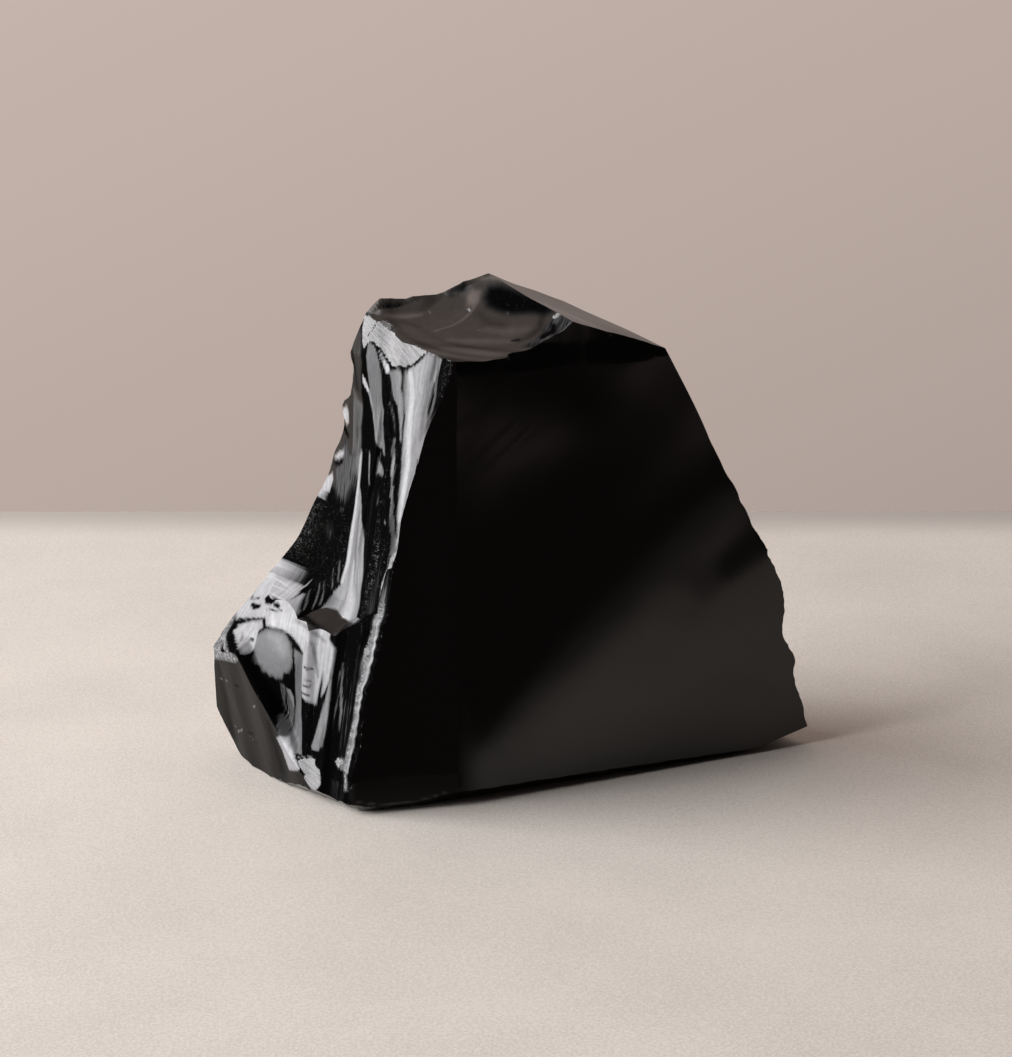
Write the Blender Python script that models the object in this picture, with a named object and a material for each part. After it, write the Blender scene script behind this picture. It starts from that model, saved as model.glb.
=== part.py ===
"""A raw chunk of obsidian, split from a larger block, standing on a cleaved base.

The stone is one solid. It starts as a block of glass, and every fracture face takes away all that lies
outside it, as knapping does. A face is a plane with a relief over it, in millimetres: a scoop, ripples,
flutes or the small bites along an edge. -Y is the side with the broad face and the fluted face, +X runs
along the stone's length, and the origin is on the base, in the middle of the stone's box.
"""

import math

import bpy
import numpy as np
from mathutils import Vector, noise

MM = 0.001

# Corners of the stone, in mm, in the layout that the faces are set out in.
FRONT_FOOT = (-26.4, -8.1, 0.0)  # where the fluted face, the narrow face and the base meet
CREASE_FOOT = (-7.6, -3.5, 0.0)  # foot of the crease between the narrow and the broad face
SHOULDER = (-23.1, 28.8, 76.0)  # far end of the fluted face's upper edge
TOP_MIDDLE = (-5.8, 18.0, 77.0)
BROAD_TIP = (11.0, 14.0, 77.1)  # where the top scoop runs out on the broad face
RIGHT_KNEE = (45.7, 28.2, 35.1)  # where the right edge of the broad face bends
RIGHT_STEP = (47.2, 28.9, 31.9)
RIGHT_HEEL = (45.6, 24.6, -1.2)  # the base lifts off the ground from here to the right
LEFT_TOE = (-51.5, 22.0, 16.5)
UNDERCUT_EDGE = (-47.6, 20.8, 2.2)
BACK_RIM = (-11.0, 31.0, 80.0)
LEDGE_LIP = (-29.5, 2.8, 26.0)  # foremost point of the step that breaks the fluted side

FOOT_HEIGHT = 2.2  # the front foot overhangs a lower base by about this much
LAYOUT_CENTRE = (1.397, 26.464, -FOOT_HEIGHT)  # middle of the stone's box in the layout, on the ground

STOCK_LOW = (-75.0, -55.0, 0.0)
STOCK_HIGH = (75.0, 55.0, 95.0)
CUT_REACH = 160.0  # how far a cutter runs past the stone

NARROW_FACING, NARROW_TILT = 13.8, 5.3
BROAD_FACING, BROAD_TILT = 27.9, 5.0
FLUTED_FACING, FLUTED_TILT = -57.7, 16.5
TOE_FACING, TOE_TILT = -45.0, 12.0
HEEL_FACING, HEEL_TILT = -57.4, -9.9
LEDGE_FACING, LEDGE_TILT = -40.0, 50.0
TOP_FACING, TOP_TILT = -29.2, 67.2
SLOPE_FACING, SLOPE_TILT = 81.8, 68.9
UPPER_RIGHT_FACING, UPPER_RIGHT_TILT = 150.0, 21.6
LOWER_RIGHT_FACING, LOWER_RIGHT_TILT = 132.0, 11.2
BACK_FACING, BACK_TILT = 178.0, 20.0
LEFT_BACK_FACING, LEFT_BACK_TILT = -140.0, 12.4
LIFT_FACING, LIFT_TILT = 90.0, -75.0
UNDERCUT_FACING, UNDERCUT_TILT = -97.0, -45.0
FOOT_TILT = -55.0  # the undersides that set the foot back from the broad, narrow and fluted faces

GLASS_COLOUR = (0.006, 0.006, 0.007, 1.0)
GLASS_ROUGHNESS = 0.08


def clear_scene():
    for obj in list(bpy.data.objects):
        bpy.data.objects.remove(obj)


class Face:
    """A fracture plane: u runs level to the right as one looks at it, v up the slope, and n outwards."""

    def __init__(self, facing, tilt, through):
        a, t = math.radians(facing), math.radians(tilt)
        self.origin = np.array(through, float) - np.array(LAYOUT_CENTRE)
        self.n = np.array([math.sin(a) * math.cos(t), -math.cos(a) * math.cos(t), math.sin(t)])
        self.u = np.array([math.cos(a), math.sin(a), 0.0])
        self.v = np.cross(self.n, self.u)

    def place(self, u, v, h):
        return self.origin + u[..., None] * self.u + v[..., None] * self.v + h[..., None] * self.n


def steps(low, high, spacing):
    """Grid lines from low to high, with one far line on each side, so that the cutter covers the stock."""
    count = max(2, round((high - low) / spacing) + 1)
    return np.concatenate([[-CUT_REACH], np.linspace(low, high, count), [CUT_REACH]])


def fade(x, low, high):
    """0 below low, 1 above high, and a smooth step in between."""
    t = np.clip((x - low) / (high - low), 0.0, 1.0)
    return t * t * (3.0 - 2.0 * t)


def hump(x, centre, half_width):
    """1 at the centre, falling smoothly to 0 at half_width on either side."""
    return 1.0 - fade(np.abs(x - centre), 0.0, half_width)


def rough(u, v, size, seed):
    """Smooth noise of about -1 to 1, whose lumps are about size mm across."""
    flat = [noise.noise(Vector((a / size, b / size, seed))) for a, b in zip(u.ravel(), v.ravel())]
    return np.array(flat).reshape(u.shape)


def bites(along, spacing, depth, seed):
    """Rounded chips one after another along an edge, each of its own width and depth."""
    out = np.zeros_like(along)
    count = int(200 / spacing)
    for k in range(count):
        jitter = noise.noise(Vector((k * 1.7, seed, 0.5)))
        size = 0.6 + 0.8 * abs(noise.noise(Vector((k * 2.3, seed, 7.5)))) * 2.0
        centre = -50.0 + (k + jitter) * spacing
        half = 0.75 * spacing * size
        bowl = 1.0 - ((along - centre) / half) ** 2
        out = np.maximum(out, depth * size * np.clip(bowl, 0.0, None))
    return out


def cutter(name, face, u_lines, v_lines, relief, lean=None):
    """All that lies outside the face, as a closed block whose inner side is the face with its relief."""
    u, v = np.meshgrid(u_lines, v_lines, indexing="ij")
    u = lean(u, v) if lean else u
    height = relief(u, v)
    height[[0, -1], :] = 0.0
    height[:, [0, -1]] = 0.0
    columns, rows = u.shape
    points = face.place(u, v, height).reshape(-1, 3)
    ends_u, ends_v = np.array([-1, 1, 1, -1]) * CUT_REACH, np.array([-1, -1, 1, 1]) * CUT_REACH
    lid = face.place(ends_u, ends_v, np.full(4, CUT_REACH))

    def at(i, j):
        return i * rows + j

    polygons = []
    for i in range(columns - 1):
        for j in range(rows - 1):
            a, b, c, d = at(i, j), at(i + 1, j), at(i + 1, j + 1), at(i, j + 1)
            if (i + j) % 2:
                polygons += [(a, c, b), (a, d, c)]
            else:
                polygons += [(a, d, b), (b, d, c)]
    first = columns * rows
    low_v = [at(i, 0) for i in range(columns)]
    high_u = [at(columns - 1, j) for j in range(rows)]
    high_v = [at(i, rows - 1) for i in reversed(range(columns))]
    low_u = [at(0, j) for j in reversed(range(rows))]
    for k, side in enumerate((low_v, high_u, high_v, low_u)):
        polygons.append(tuple(side) + (first + (k + 1) % 4, first + k))
    polygons.append((first, first + 1, first + 2, first + 3))

    mesh = bpy.data.meshes.new(name)
    mesh.from_pydata((np.concatenate([points, lid]) * MM).tolist(), [], polygons)
    obj = bpy.data.objects.new(name, mesh)
    bpy.context.scene.collection.objects.link(obj)
    obj.hide_render = True
    obj.display_type = "WIRE"
    return obj


def boolean(target, tool, operation):
    modifier = target.modifiers.new(tool.name, "BOOLEAN")
    modifier.operation = operation
    modifier.object = tool


def broad_relief(u, v):
    """Almost flat: long low swells across the face, and the scar of a chip at its upper left edge."""
    across = (v - 0.8 * u) / 30.0
    scar = (1.0 - 0.5 * fade(u, 13.5, 17.0)) * fade(u, 12.0, 13.0) + 0.33 * hump(u, 8.0, 5.0)
    chip = 1.5 * scar * (1.0 - fade(u, 19.0, 25.0)) * fade(v, 70.0, 74.0)
    return 0.1 * np.sin(2.0 * math.pi * across) * fade(u, -4.0, 12.0) - chip


def narrow_relief(u, v):
    return 0.12 * np.sin(2.0 * math.pi * u / 16.0)


def flat_relief(u, v):
    return np.zeros_like(u)


TOP_RIM = ((-22.0, -20.6, -19.4, -17.8, -15.5, -14.3, -12.3, -10.6, -9.5, -8.3, -7.0, -6.1, -5.0, -3.4, -1.9),
           (-0.1, 1.2, 2.2, 2.1, 1.3, 1.4, 0.9, 0.35, 0.35, 0.65, 0.7, 0.95, 0.7, 0.3, 0.0))


def top_relief(u, v):
    """A scoop open to the broad face, a shallower one in it, and the raised rim at its far edge."""
    scoop = -2.4 - 0.033 * u + 0.11 * v + 0.025 * v ** 2
    inner = np.hypot((u + 12.0) / 9.0, (v - 5.0) / 6.5)
    crescent = -0.35 * (1.0 - fade(inner, 0.6, 1.05))
    away, rise = v - 2.5 - 0.51 * (u + 19.4), np.interp(u, *TOP_RIM)
    lip = np.clip(rise - 0.9, 0.0, 1.0)
    width = 1.0 + 2.4 * fade(u, -21.5, -17.0) * (1.0 - fade(u, -12.0, -9.0))
    return scoop + crescent + (rise - lip) * fade(away / width, -1.0, 0.0) + lip * fade(away, -0.9, -0.3)


RIDGE_RISE = ((0.0, 17.0, 23.0, 28.0, 34.5, 41.0, 48.0, 52.0, 57.0, 62.0, 65.0, 69.0, 75.0, 84.0),
              (0.0, 1.9, 1.7, 1.1, 2.0, 2.3, 2.7, 2.35, 1.95, 1.9, 1.5, 0.6, 0.3, 0.1))
FAR_RISE = ((14.0, 21.0, 26.7, 31.5, 37.4, 47.0, 56.0, 64.0, 72.0, 79.3),
            (12.0, 9.5, 5.4, 0.7, -0.9, -2.2, -2.2, -1.3, 0.8, 0.1))
FLUTES = (  # each: (u, v) at the top, (u, v) at the foot, half width at the top and at the foot, depth
    ((-26.0, 80.0), (-11.0, 58.0), 3.0, 1.2, 0.8),
    ((-10.0, 77.0), (-1.5, 41.0), 8.0, 1.0, 1.5),
    ((-19.0, 64.0), (-9.5, 28.0), 0.8, 2.6, 0.9),
    ((-29.0, 66.0), (-14.0, 30.0), 2.4, 4.0, 1.0),
    ((-12.0, 62.0), (-4.5, 30.0), 1.2, 2.2, 0.7),
)


def fluted_relief(u, v):
    """Flutes that fan down from the upper edge, over a surface that flares out to the toe at its far end."""
    far_u = -29.4 - 0.165 * (79.0 - v)
    share = np.clip(1.0 - u / far_u, 0.0, 1.0)
    ridge, far = np.interp(v, *RIDGE_RISE), np.interp(v, *FAR_RISE)
    flare = 5.2 * np.clip((39.0 - v) / 11.0, 0.0, 1.3) ** 2
    flare *= fade(-u, 15.0, 24.0) * fade(share, -0.02, 0.08)
    bevel = 0.12 * np.clip(v - 71.5 - 0.2 * (u + 18.0), 0.0, 8.0)
    bevel *= fade(-u, 5.0, 10.0) * fade(u, -30.0, -24.0)
    return far + (ridge - far) * share + flare - bevel + flutes(u, v)


def fan(s, v):
    """Leans the grid lines of the fluted face along the flutes, which draw together towards the ridge."""
    return s + np.clip((78.0 - v) / 50.0, -0.2, 1.3) * (6.0 - 0.4 * np.clip(s, -60.0, 5.0))


def flutes(u, v):
    out = np.zeros_like(u)
    for (top_u, top_v), (foot_u, foot_v), top_half, foot_half, depth in FLUTES:
        share = np.clip((top_v - v) / (top_v - foot_v), 0.0, 1.0)
        middle_u = top_u + (foot_u - top_u) * share
        half = top_half + (foot_half - top_half) * share
        along = fade(v, foot_v - 3.0, foot_v + 5.0) * (1.0 - fade(v, top_v - 4.0, top_v + 4.0))
        out -= depth * np.clip(1.0 - ((u - middle_u) / half) ** 2, 0.0, None) * along
    return out


# The crease between the toe and the heel: u, v and how far out it stands on the toe.
HEEL_CREASE = (-42.0, -37.0, -33.0, -30.0, -26.2, -22.4, -19.7, -16.9, -13.8, -12.0, -8.0)
CREASE_HEIGHT = (17.5, 17.9, 18.7, 18.9, 15.3, 11.7, 8.8, 6.0, 3.7, 2.5, -1.0)
CREASE_WALL = (0.6, 1.1, 2.2, 2.9, 2.5, 1.9, 1.2, 0.8, 0.7, 0.5, 0.0)


def toe_relief(u, v):
    """The proud lower part of the fluted side: a bulb, the hollow below it and the wall beside the heel."""
    bulb = 1.4 * np.exp(-(((u + 20.0) / 6.0) ** 2) - ((v - 20.5) / 5.5) ** 2)
    hollow = -2.2 * np.exp(-(((u + 22.0) / 7.0) ** 2) - ((v - 9.0) / 6.0) ** 2)
    rib = 0.8 * np.clip(1.0 - np.abs(u + 11.5 + 0.1 * v) / 1.8, 0.0, None) * fade(v, 2.0, 8.0)
    groove = -1.0 * np.clip(1.0 - ((u + 4.5 + 0.05 * v) / 2.6) ** 2, 0.0, None)
    corner = -0.45 * np.clip(v - 17.0, 0.0, None) * fade(-u, 25.0, 34.0)
    ridge = -1.0 * fade(v, 18.0, 27.0) * fade(u, -4.0, 0.0)
    relief = bulb + hollow + rib + groove + corner + ridge
    near = 1.0 - fade(v - np.interp(u, HEEL_CREASE, CREASE_HEIGHT), 0.4, 3.2)
    return relief + (np.interp(u, HEEL_CREASE, CREASE_WALL) - relief) * near * fade(-u, 8.0, 12.0)


LEDGE_RISE = ((-30.0, -23.3, -16.4, -11.2, -4.0, 1.2, 5.9, 9.0), (-5.5, -3.1, -0.9, 0.4, 0.3, 0.0, 2.0, 3.6))


def ledge_relief(u, v):
    """The ledge falls away to the left of its lip and climbs to the right of it."""
    return np.interp(u, *LEDGE_RISE) - 0.25 * np.clip(v - 1.0, 0.0, 20.0)


def heel_relief(u, v):
    return 0.12 * np.sin(2.0 * math.pi * (u + 0.1 * v - 2.5) / 9.5)


def undercut_relief(u, v):
    """The overhanging corner under the heel, with a knob that stands out from it."""
    knob = 2.2 * np.exp(-(((u + 0.6) / 3.0) ** 2)) * (1.0 - fade(v, 4.0, 9.0))
    return knob + 0.3 * np.sin(2.0 * math.pi * (u + 0.3 * v) / 13.0)


def slope_relief(u, v):
    return 0.25 * rough(u, v, 9.0, 4.0)


UPPER_BITES = (  # v along the right edge of the broad face above the knee, and how far it stands out there
    (-2.0, -1.0, 0.8, 2.7, 4.4, 5.8, 7.5, 9.0, 10.4, 12.3,
     14.2, 15.4, 17.3, 19.6, 21.0, 22.5, 24.6, 25.6, 26.7, 28.7),
    (-0.3, 0.0, -0.15, -0.3, -0.5, -0.3, -0.2, -0.5, -0.1, 0.05,
     -0.25, -0.25, 0.1, 0.1, -0.3, 0.0, 0.4, 0.35, -0.1, 0.0))
LOWER_BITES = (  # the same below the knee
    (-32.0, -28.0, -25.9, -23.6, -21.6, -20.2, -19.3, -17.9, -16.4,
     -14.6, -12.9, -11.0, -9.3, -7.5, -5.2, -3.0, -0.9, 1.0),
    (-0.6, -0.55, -0.7, -1.0, -1.0, -0.65, 0.1, 0.0, -0.55,
     -1.0, -1.4, -0.75, 0.05, 0.35, 0.6, 0.45, 0.3, 0.0))


def right_relief(u, v, edge, seed):
    """A hidden face with the bites that make the broad face's right edge ragged."""
    chips = np.interp(v, *edge) * (1.0 - fade(u, 1.0, 9.0))
    bowl = -2.0 * hump(u, 22.0, 22.0) * hump(v, 10.0, 45.0)
    return chips + bowl + 0.5 * rough(u, v, 14.0, seed) * fade(u, 2.0, 8.0)


def back_relief(u, v):
    """A large scar: a bowl below a bulb, with the ripples that run out from the blow."""
    far = np.hypot(u - 6.0, v - 4.0)
    bowl = -3.0 * np.exp(-((far / 26.0) ** 2))
    ripples = 0.35 * np.sin(2.0 * math.pi * far / (5.0 + 0.08 * far)) * fade(far, 8.0, 18.0)
    return bowl + ripples + 0.6 * rough(u, v, 18.0, 9.0)


def left_back_relief(u, v):
    """A hidden face whose far edge, beside the flutes, is chipped along its length."""
    edge_u = np.clip(-0.43 * v, 0.0, 26.0)
    near_edge = fade(u - edge_u, -4.5, -0.5)
    ripples = 0.3 * np.sin(2.0 * math.pi * np.hypot(u + 6.0, v + 4.0) / 7.5) * (1.0 - near_edge)
    brow = 2.2 * fade(v, -10.0, -7.5) + 0.2 * fade(v, -6.0, 1.0)
    brow += 1.3 * fade(v, -7.0, -1.0) * fade(-u, 1.0, 6.0)
    nubs = 1.6 * hump(v, -17.2, 2.6) - 0.6 * hump(v, -21.5, 3.0) + 0.5 * hump(v, -25.5, 2.0)
    scar = -1.5 * hump(u, -10.0, 16.0) * hump(v, -35.0, 40.0)
    return ripples + brow + nubs * fade(u - edge_u, -8.0, -3.0) - bites(v, 4.0, 0.4, 21.0) * near_edge + scar


# How low the narrow face hangs over its foot, along u.
NARROW_FOOT = ((0.0, 3.0, 10.4, 15.4, 17.8, 19.4), (0.2, 0.95, 0.8, 0.45, 0.0, -0.25))


def broad_foot_relief(u, v):
    """The underside of the broad face, whose edge comes down towards the right."""
    return 0.023 * np.clip(u, 0.0, 60.0) - 0.25


def narrow_foot_relief(u, v):
    return np.interp(u, *NARROW_FOOT)


def build_stock():
    low, high = np.array(STOCK_LOW), np.array(STOCK_HIGH)
    around = ((0, 0), (1, 0), (1, 1), (0, 1))
    corners = [[(low, high)[bit][axis] for axis, bit in enumerate(bits)]
               for bits in [(x, y, z) for z in (0, 1) for x, y in around]]
    sides = [(0, 3, 2, 1), (4, 5, 6, 7), (0, 1, 5, 4), (1, 2, 6, 5), (2, 3, 7, 6), (3, 0, 4, 7)]
    mesh = bpy.data.meshes.new("obsidian_chunk")
    mesh.from_pydata((np.array(corners) * MM).tolist(), [], sides)
    obj = bpy.data.objects.new("obsidian_chunk", mesh)
    bpy.context.scene.collection.objects.link(obj)
    return obj


def build_cutters():
    """The faces that cut the whole stock, in the order in which they are cut."""
    upper_right = lambda u, v: right_relief(u, v, UPPER_BITES, 31.0)
    lower_right = lambda u, v: right_relief(u, v, LOWER_BITES, 32.0)
    return [
        cutter("broad", Face(BROAD_FACING, BROAD_TILT, CREASE_FOOT),
               steps(-4.0, 72.0, 4.0), steps(-2.0, 82.0, 4.0), broad_relief),
        cutter("narrow", Face(NARROW_FACING, NARROW_TILT, FRONT_FOOT),
               steps(-2.0, 24.0, 4.0), steps(-2.0, 78.0, 12.0), narrow_relief),
        cutter("toe", Face(TOE_FACING, TOE_TILT, FRONT_FOOT),
               steps(-42.0, 2.0, 1.5), steps(-4.0, 32.0, 1.6), toe_relief),
        cutter("heel", Face(HEEL_FACING, HEEL_TILT, LEFT_TOE),
               steps(-6.0, 34.0, 3.0), steps(-23.0, 6.0, 3.0), heel_relief),
        cutter("undercut", Face(UNDERCUT_FACING, UNDERCUT_TILT, UNDERCUT_EDGE),
               steps(-16.0, 12.0, 2.0), steps(-9.0, 14.0, 3.0), undercut_relief),
        cutter("top", Face(TOP_FACING, TOP_TILT, TOP_MIDDLE),
               steps(-24.0, 24.0, 2.0), steps(-24.0, 20.0, 2.0), top_relief),
        cutter("slope", Face(SLOPE_FACING, SLOPE_TILT, BROAD_TIP),
               steps(-20.0, 20.0, 5.0), steps(-24.0, 24.0, 5.0), slope_relief),
        cutter("upper_right", Face(UPPER_RIGHT_FACING, UPPER_RIGHT_TILT, RIGHT_KNEE),
               steps(-4.0, 46.0, 2.5), steps(-6.0, 44.0, 1.2), upper_right),
        cutter("lower_right", Face(LOWER_RIGHT_FACING, LOWER_RIGHT_TILT, RIGHT_STEP),
               steps(-4.0, 46.0, 2.5), steps(-38.0, 7.0, 1.4), lower_right),
        cutter("back", Face(BACK_FACING, BACK_TILT, BACK_RIM),
               steps(-30.0, 30.0, 2.7), steps(-88.0, 4.0, 2.7), back_relief),
        cutter("left_back", Face(LEFT_BACK_FACING, LEFT_BACK_TILT, SHOULDER),
               steps(-22.0, 30.0, 2.4), steps(-80.0, 6.0, 2.4), left_back_relief),
        cutter("lift", Face(LIFT_FACING, LIFT_TILT, RIGHT_HEEL),
               steps(-30.0, 30.0, 10.0), steps(-20.0, 20.0, 10.0), flat_relief),
        cutter("broad_foot", Face(BROAD_FACING, FOOT_TILT, CREASE_FOOT),
               steps(-20.5, 63.5, 3.5), steps(-6.0, 6.0, 3.0), broad_foot_relief),
        cutter("narrow_foot", Face(NARROW_FACING, FOOT_TILT, FRONT_FOOT),
               steps(-6.0, 40.0, 1.5), steps(-6.0, 6.0, 3.0), narrow_foot_relief),
        cutter("toe_foot", Face(TOE_FACING, FOOT_TILT, FRONT_FOOT),
               steps(-30.0, 10.0, 4.0), steps(-6.0, 6.0, 3.0), flat_relief),
    ]


def build_flute_cutter():
    """The flakes that came off above the ledge: outside the fluted face, and above the ledge."""
    fluted = cutter("fluted", Face(FLUTED_FACING, FLUTED_TILT, FRONT_FOOT),
                    steps(-48.0, 4.0, 1.0), steps(16.0, 84.0, 2.2), fluted_relief, fan)
    above = cutter("above_ledge", Face(LEDGE_FACING, LEDGE_TILT, LEDGE_LIP),
                   steps(-30.0, 14.0, 2.0), steps(-14.0, 40.0, 3.0), ledge_relief)
    boolean(fluted, above, "INTERSECT")
    return fluted


def obsidian():
    material = bpy.data.materials.new("obsidian")
    material.use_nodes = True
    shader = material.node_tree.nodes["Principled BSDF"]
    shader.inputs["Base Color"].default_value = GLASS_COLOUR
    shader.inputs["Roughness"].default_value = GLASS_ROUGHNESS
    shader.inputs["Metallic"].default_value = 0.0
    return material


def main():
    clear_scene()
    stone = build_stock()
    for tool in build_cutters():
        boolean(stone, tool, "DIFFERENCE")
    boolean(stone, build_flute_cutter(), "DIFFERENCE")
    stone.data.materials.append(obsidian())


main()
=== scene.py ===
import math
import bpy
import numpy as np
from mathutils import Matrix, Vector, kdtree


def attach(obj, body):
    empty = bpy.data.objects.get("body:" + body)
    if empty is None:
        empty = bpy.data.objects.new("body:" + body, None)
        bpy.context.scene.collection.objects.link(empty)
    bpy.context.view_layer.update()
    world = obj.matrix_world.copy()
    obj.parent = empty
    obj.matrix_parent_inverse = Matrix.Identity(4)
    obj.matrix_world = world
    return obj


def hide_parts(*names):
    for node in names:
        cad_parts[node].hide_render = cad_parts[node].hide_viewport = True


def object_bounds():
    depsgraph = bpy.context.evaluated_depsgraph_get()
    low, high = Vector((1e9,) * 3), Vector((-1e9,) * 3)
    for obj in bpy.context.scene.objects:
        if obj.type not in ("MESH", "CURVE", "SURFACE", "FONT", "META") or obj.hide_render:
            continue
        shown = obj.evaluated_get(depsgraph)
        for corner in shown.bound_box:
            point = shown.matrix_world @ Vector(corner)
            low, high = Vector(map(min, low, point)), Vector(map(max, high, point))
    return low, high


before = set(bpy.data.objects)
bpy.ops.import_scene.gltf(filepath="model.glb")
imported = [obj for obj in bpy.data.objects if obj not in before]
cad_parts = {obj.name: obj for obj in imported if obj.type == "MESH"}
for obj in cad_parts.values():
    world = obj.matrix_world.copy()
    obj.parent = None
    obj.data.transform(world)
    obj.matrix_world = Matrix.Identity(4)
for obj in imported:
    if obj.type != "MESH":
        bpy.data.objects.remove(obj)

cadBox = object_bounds()
mm = 0.001

# middle of the stone's box in the layout of the faces, on the ground, in mm
layoutCentre = np.array((1.397, 26.464, -2.2))
stockBox = (-75.0, -55.0, 0.0), (75.0, 55.0, 95.0)  # the block that the stone is cut from, in mm
cutReach = 160.0  # mm that a cutting block reaches past its face
latticeSide = 97  # points along one side of the noise pattern
edgeStart, edgeLength = -60.0, 200.0  # the stretch of an edge that gets chips, in mm


class Face:
    # a fracture plane: u level to the right, v up the slope, n outwards, all in mm
    def __init__(self, facing, tilt, through):
        a, t = math.radians(facing), math.radians(tilt)
        self.origin = np.array(through, float) - layoutCentre
        self.n = np.array([math.sin(a) * math.cos(t), -math.cos(a) * math.cos(t), math.sin(t)])
        self.u = np.array([math.cos(a), math.sin(a), 0.0])
        self.v = np.cross(self.n, self.u)

    def place(self, u, v, h):
        return self.origin + u[..., None] * self.u + v[..., None] * self.v + h[..., None] * self.n

    def find(self, points):
        away = points - self.origin
        return away @ self.u, away @ self.v, away @ self.n


def fade(x, low, high):
    t = np.clip((x - low) / (high - low), 0.0, 1.0)
    return t * t * (3.0 - 2.0 * t)


def hump(x, centre, halfWidth):
    return 1.0 - fade(np.abs(x - centre), 0.0, halfWidth)


def lumps(x, y, sizeX, sizeY, seed):
    # smooth noise of -1 to 1 whose lumps are sizeX by sizeY
    side = latticeSide
    lattice = np.random.default_rng(seed).random((side, side)) * 2.0 - 1.0
    x, y = x / sizeX, y / sizeY
    i, j = np.floor(x).astype(int), np.floor(y).astype(int)
    a, b = x - i, y - j
    a, b = a * a * (3 - 2 * a), b * b * (3 - 2 * b)
    i, j, k, m = i % side, j % side, (i + 1) % side, (j + 1) % side
    low = lattice[i, j] * (1 - a) + lattice[k, j] * a
    return low * (1 - b) + (lattice[i, m] * (1 - a) + lattice[k, m] * a) * b


def newObject(name, data):
    obj = bpy.data.objects.new(name, data)
    bpy.context.scene.collection.objects.link(obj)
    return obj


def bites(along, spacing, depth, seed):
    # rounded chips one after another along an edge
    dice = np.random.default_rng(seed)
    out = np.zeros_like(along)
    for k in range(int(edgeLength / spacing)):
        size = 0.4 + 1.1 * dice.random() ** 2
        centre = edgeStart + (k + dice.uniform(-0.4, 0.4)) * spacing
        bowl = 1.0 - ((along - centre) / (0.7 * spacing * size)) ** 2
        out = np.maximum(out, depth * size * np.clip(bowl, 0.0, None))
    return out


# the fracture faces: one plan each, and its relief in mm over the plane
ridgeFoot = (-26.4, -8.1, 0.0)  # where the long ridge on the left meets the ground
broadFootAt = (-7.6, -3.5, 0.0)  # where the broad and the narrow face meet on the ground

broad = {"facing": 27.9, "tilt": 5.0, "through": broadFootAt, "u": (-4, 72, 0.9), "v": (-4, 82, 0.5),
         "swell": 0.05}


def broadRelief(u, v):
    swells = broad["swell"] * np.sin(2 * math.pi * (v - 0.8 * u) / 30.0) * fade(u, -4.0, 12.0)
    hackle = 0.02 * lumps(v - 0.75 * u, u, 1.6, 14.0, 11) * fade(v, 50.0, 66.0) * (1 - fade(u, 14.0, 26.0))
    scar = (1.0 - 0.5 * fade(u, 13.5, 17.0)) * fade(u, 12.0, 13.0) + 0.33 * hump(u, 8.0, 5.0)
    chip = (1.5 * scar * (1 - fade(u, 19.0, 25.0)) + bites(u, 2.1, 0.26, 15)) * fade(v, 70.0, 74.0)
    return swells + hackle - chip + 0.01 * lumps(u, v, 6.0, 6.0, 12)


narrow = {"facing": 13.8, "tilt": 5.3, "through": ridgeFoot, "u": (-2, 24, 0.4), "v": (-4, 78, 0.4)}


def narrowRelief(u, v):
    chips = (bites(v, 2.3, 0.45, 16) + bites(v, 0.9, 0.15, 17)) * (1 - fade(u, 0.1, 1.5))
    chips = chips * (1 - fade(v, 42.0, 48.0))
    return 0.12 * np.sin(2 * math.pi * u / 16.0) - 0.003 * v - chips + 0.02 * lumps(u, v, 3.0, 18.0, 13)


toe = {"facing": -45.0, "tilt": 12.0, "through": ridgeFoot, "u": (-42, 2, 0.3), "v": (-4, 32, 0.35),
       "crease": ((-42, -37, -33, -30, -26.2, -22.4, -19.7, -16.9, -13.8, -12, -8),  # where the heel begins
                  (17.5, 17.9, 18.7, 18.9, 15.3, 11.7, 8.8, 6.0, 3.7, 2.5, -1.0),
                  (0.6, 1.1, 2.2, 2.9, 2.5, 1.9, 1.2, 0.8, 0.7, 0.5, 0.0))}


def toeRelief(u, v):
    bulb = 1.4 * np.exp(-((u + 20.0) / 6.0) ** 2 - ((v - 20.5) / 5.5) ** 2)
    hollow = -2.2 * np.exp(-((u + 22.0) / 7.0) ** 2 - ((v - 9.0) / 6.0) ** 2)
    rib = 0.8 * np.clip(1 - np.abs(u + 11.5 + 0.1 * v) / 1.8, 0, None) * fade(v, 2.0, 8.0)
    groove = -1.0 * np.clip(1 - ((u + 4.5 + 0.05 * v) / 2.6) ** 2, 0, None)
    corner = -0.62 * np.clip(v - 21.3, 0, None) * fade(-u, 25.0, 34.0)
    ridge = -1.0 * fade(v, 18.0, 27.0) * fade(u, -4.0, 0.0)
    streaks = 0.06 * lumps(u + 0.12 * v, v, 0.7, 9.0, 21) * fade(u, -20.0, -10.0)
    chips = (bites(v, 2.0, 0.35, 23) + bites(v, 0.9, 0.12, 24)) * fade(u, -2.4, 0.2)
    relief = bulb + hollow + rib + groove + corner + ridge + streaks - chips
    creaseU, creaseV, wall = toe["crease"]
    near = 1 - fade(v - np.interp(u, creaseU, creaseV), 0.4, 3.2)
    return relief + (np.interp(u, creaseU, wall) - relief) * near * fade(-u, 8.0, 12.0)


heel = {"facing": -57.4, "tilt": -9.9, "through": (-51.5, 22.0, 16.5), "u": (-6, 34, 0.4), "v": (-23, 6, 0.4)}


def heelRelief(u, v):
    waves = 0.12 * np.sin(2 * math.pi * (u + 0.1 * v - 2.5) / 9.5)
    return waves + 0.02 * lumps(u + 0.6 * v, v, 1.5, 12.0, 31)


undercut = {"facing": -97.0, "tilt": -45.0, "through": (-47.6, 20.8, 2.2), "u": (-16, 12, 0.8),
            "v": (-9, 14, 1.2)}


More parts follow.
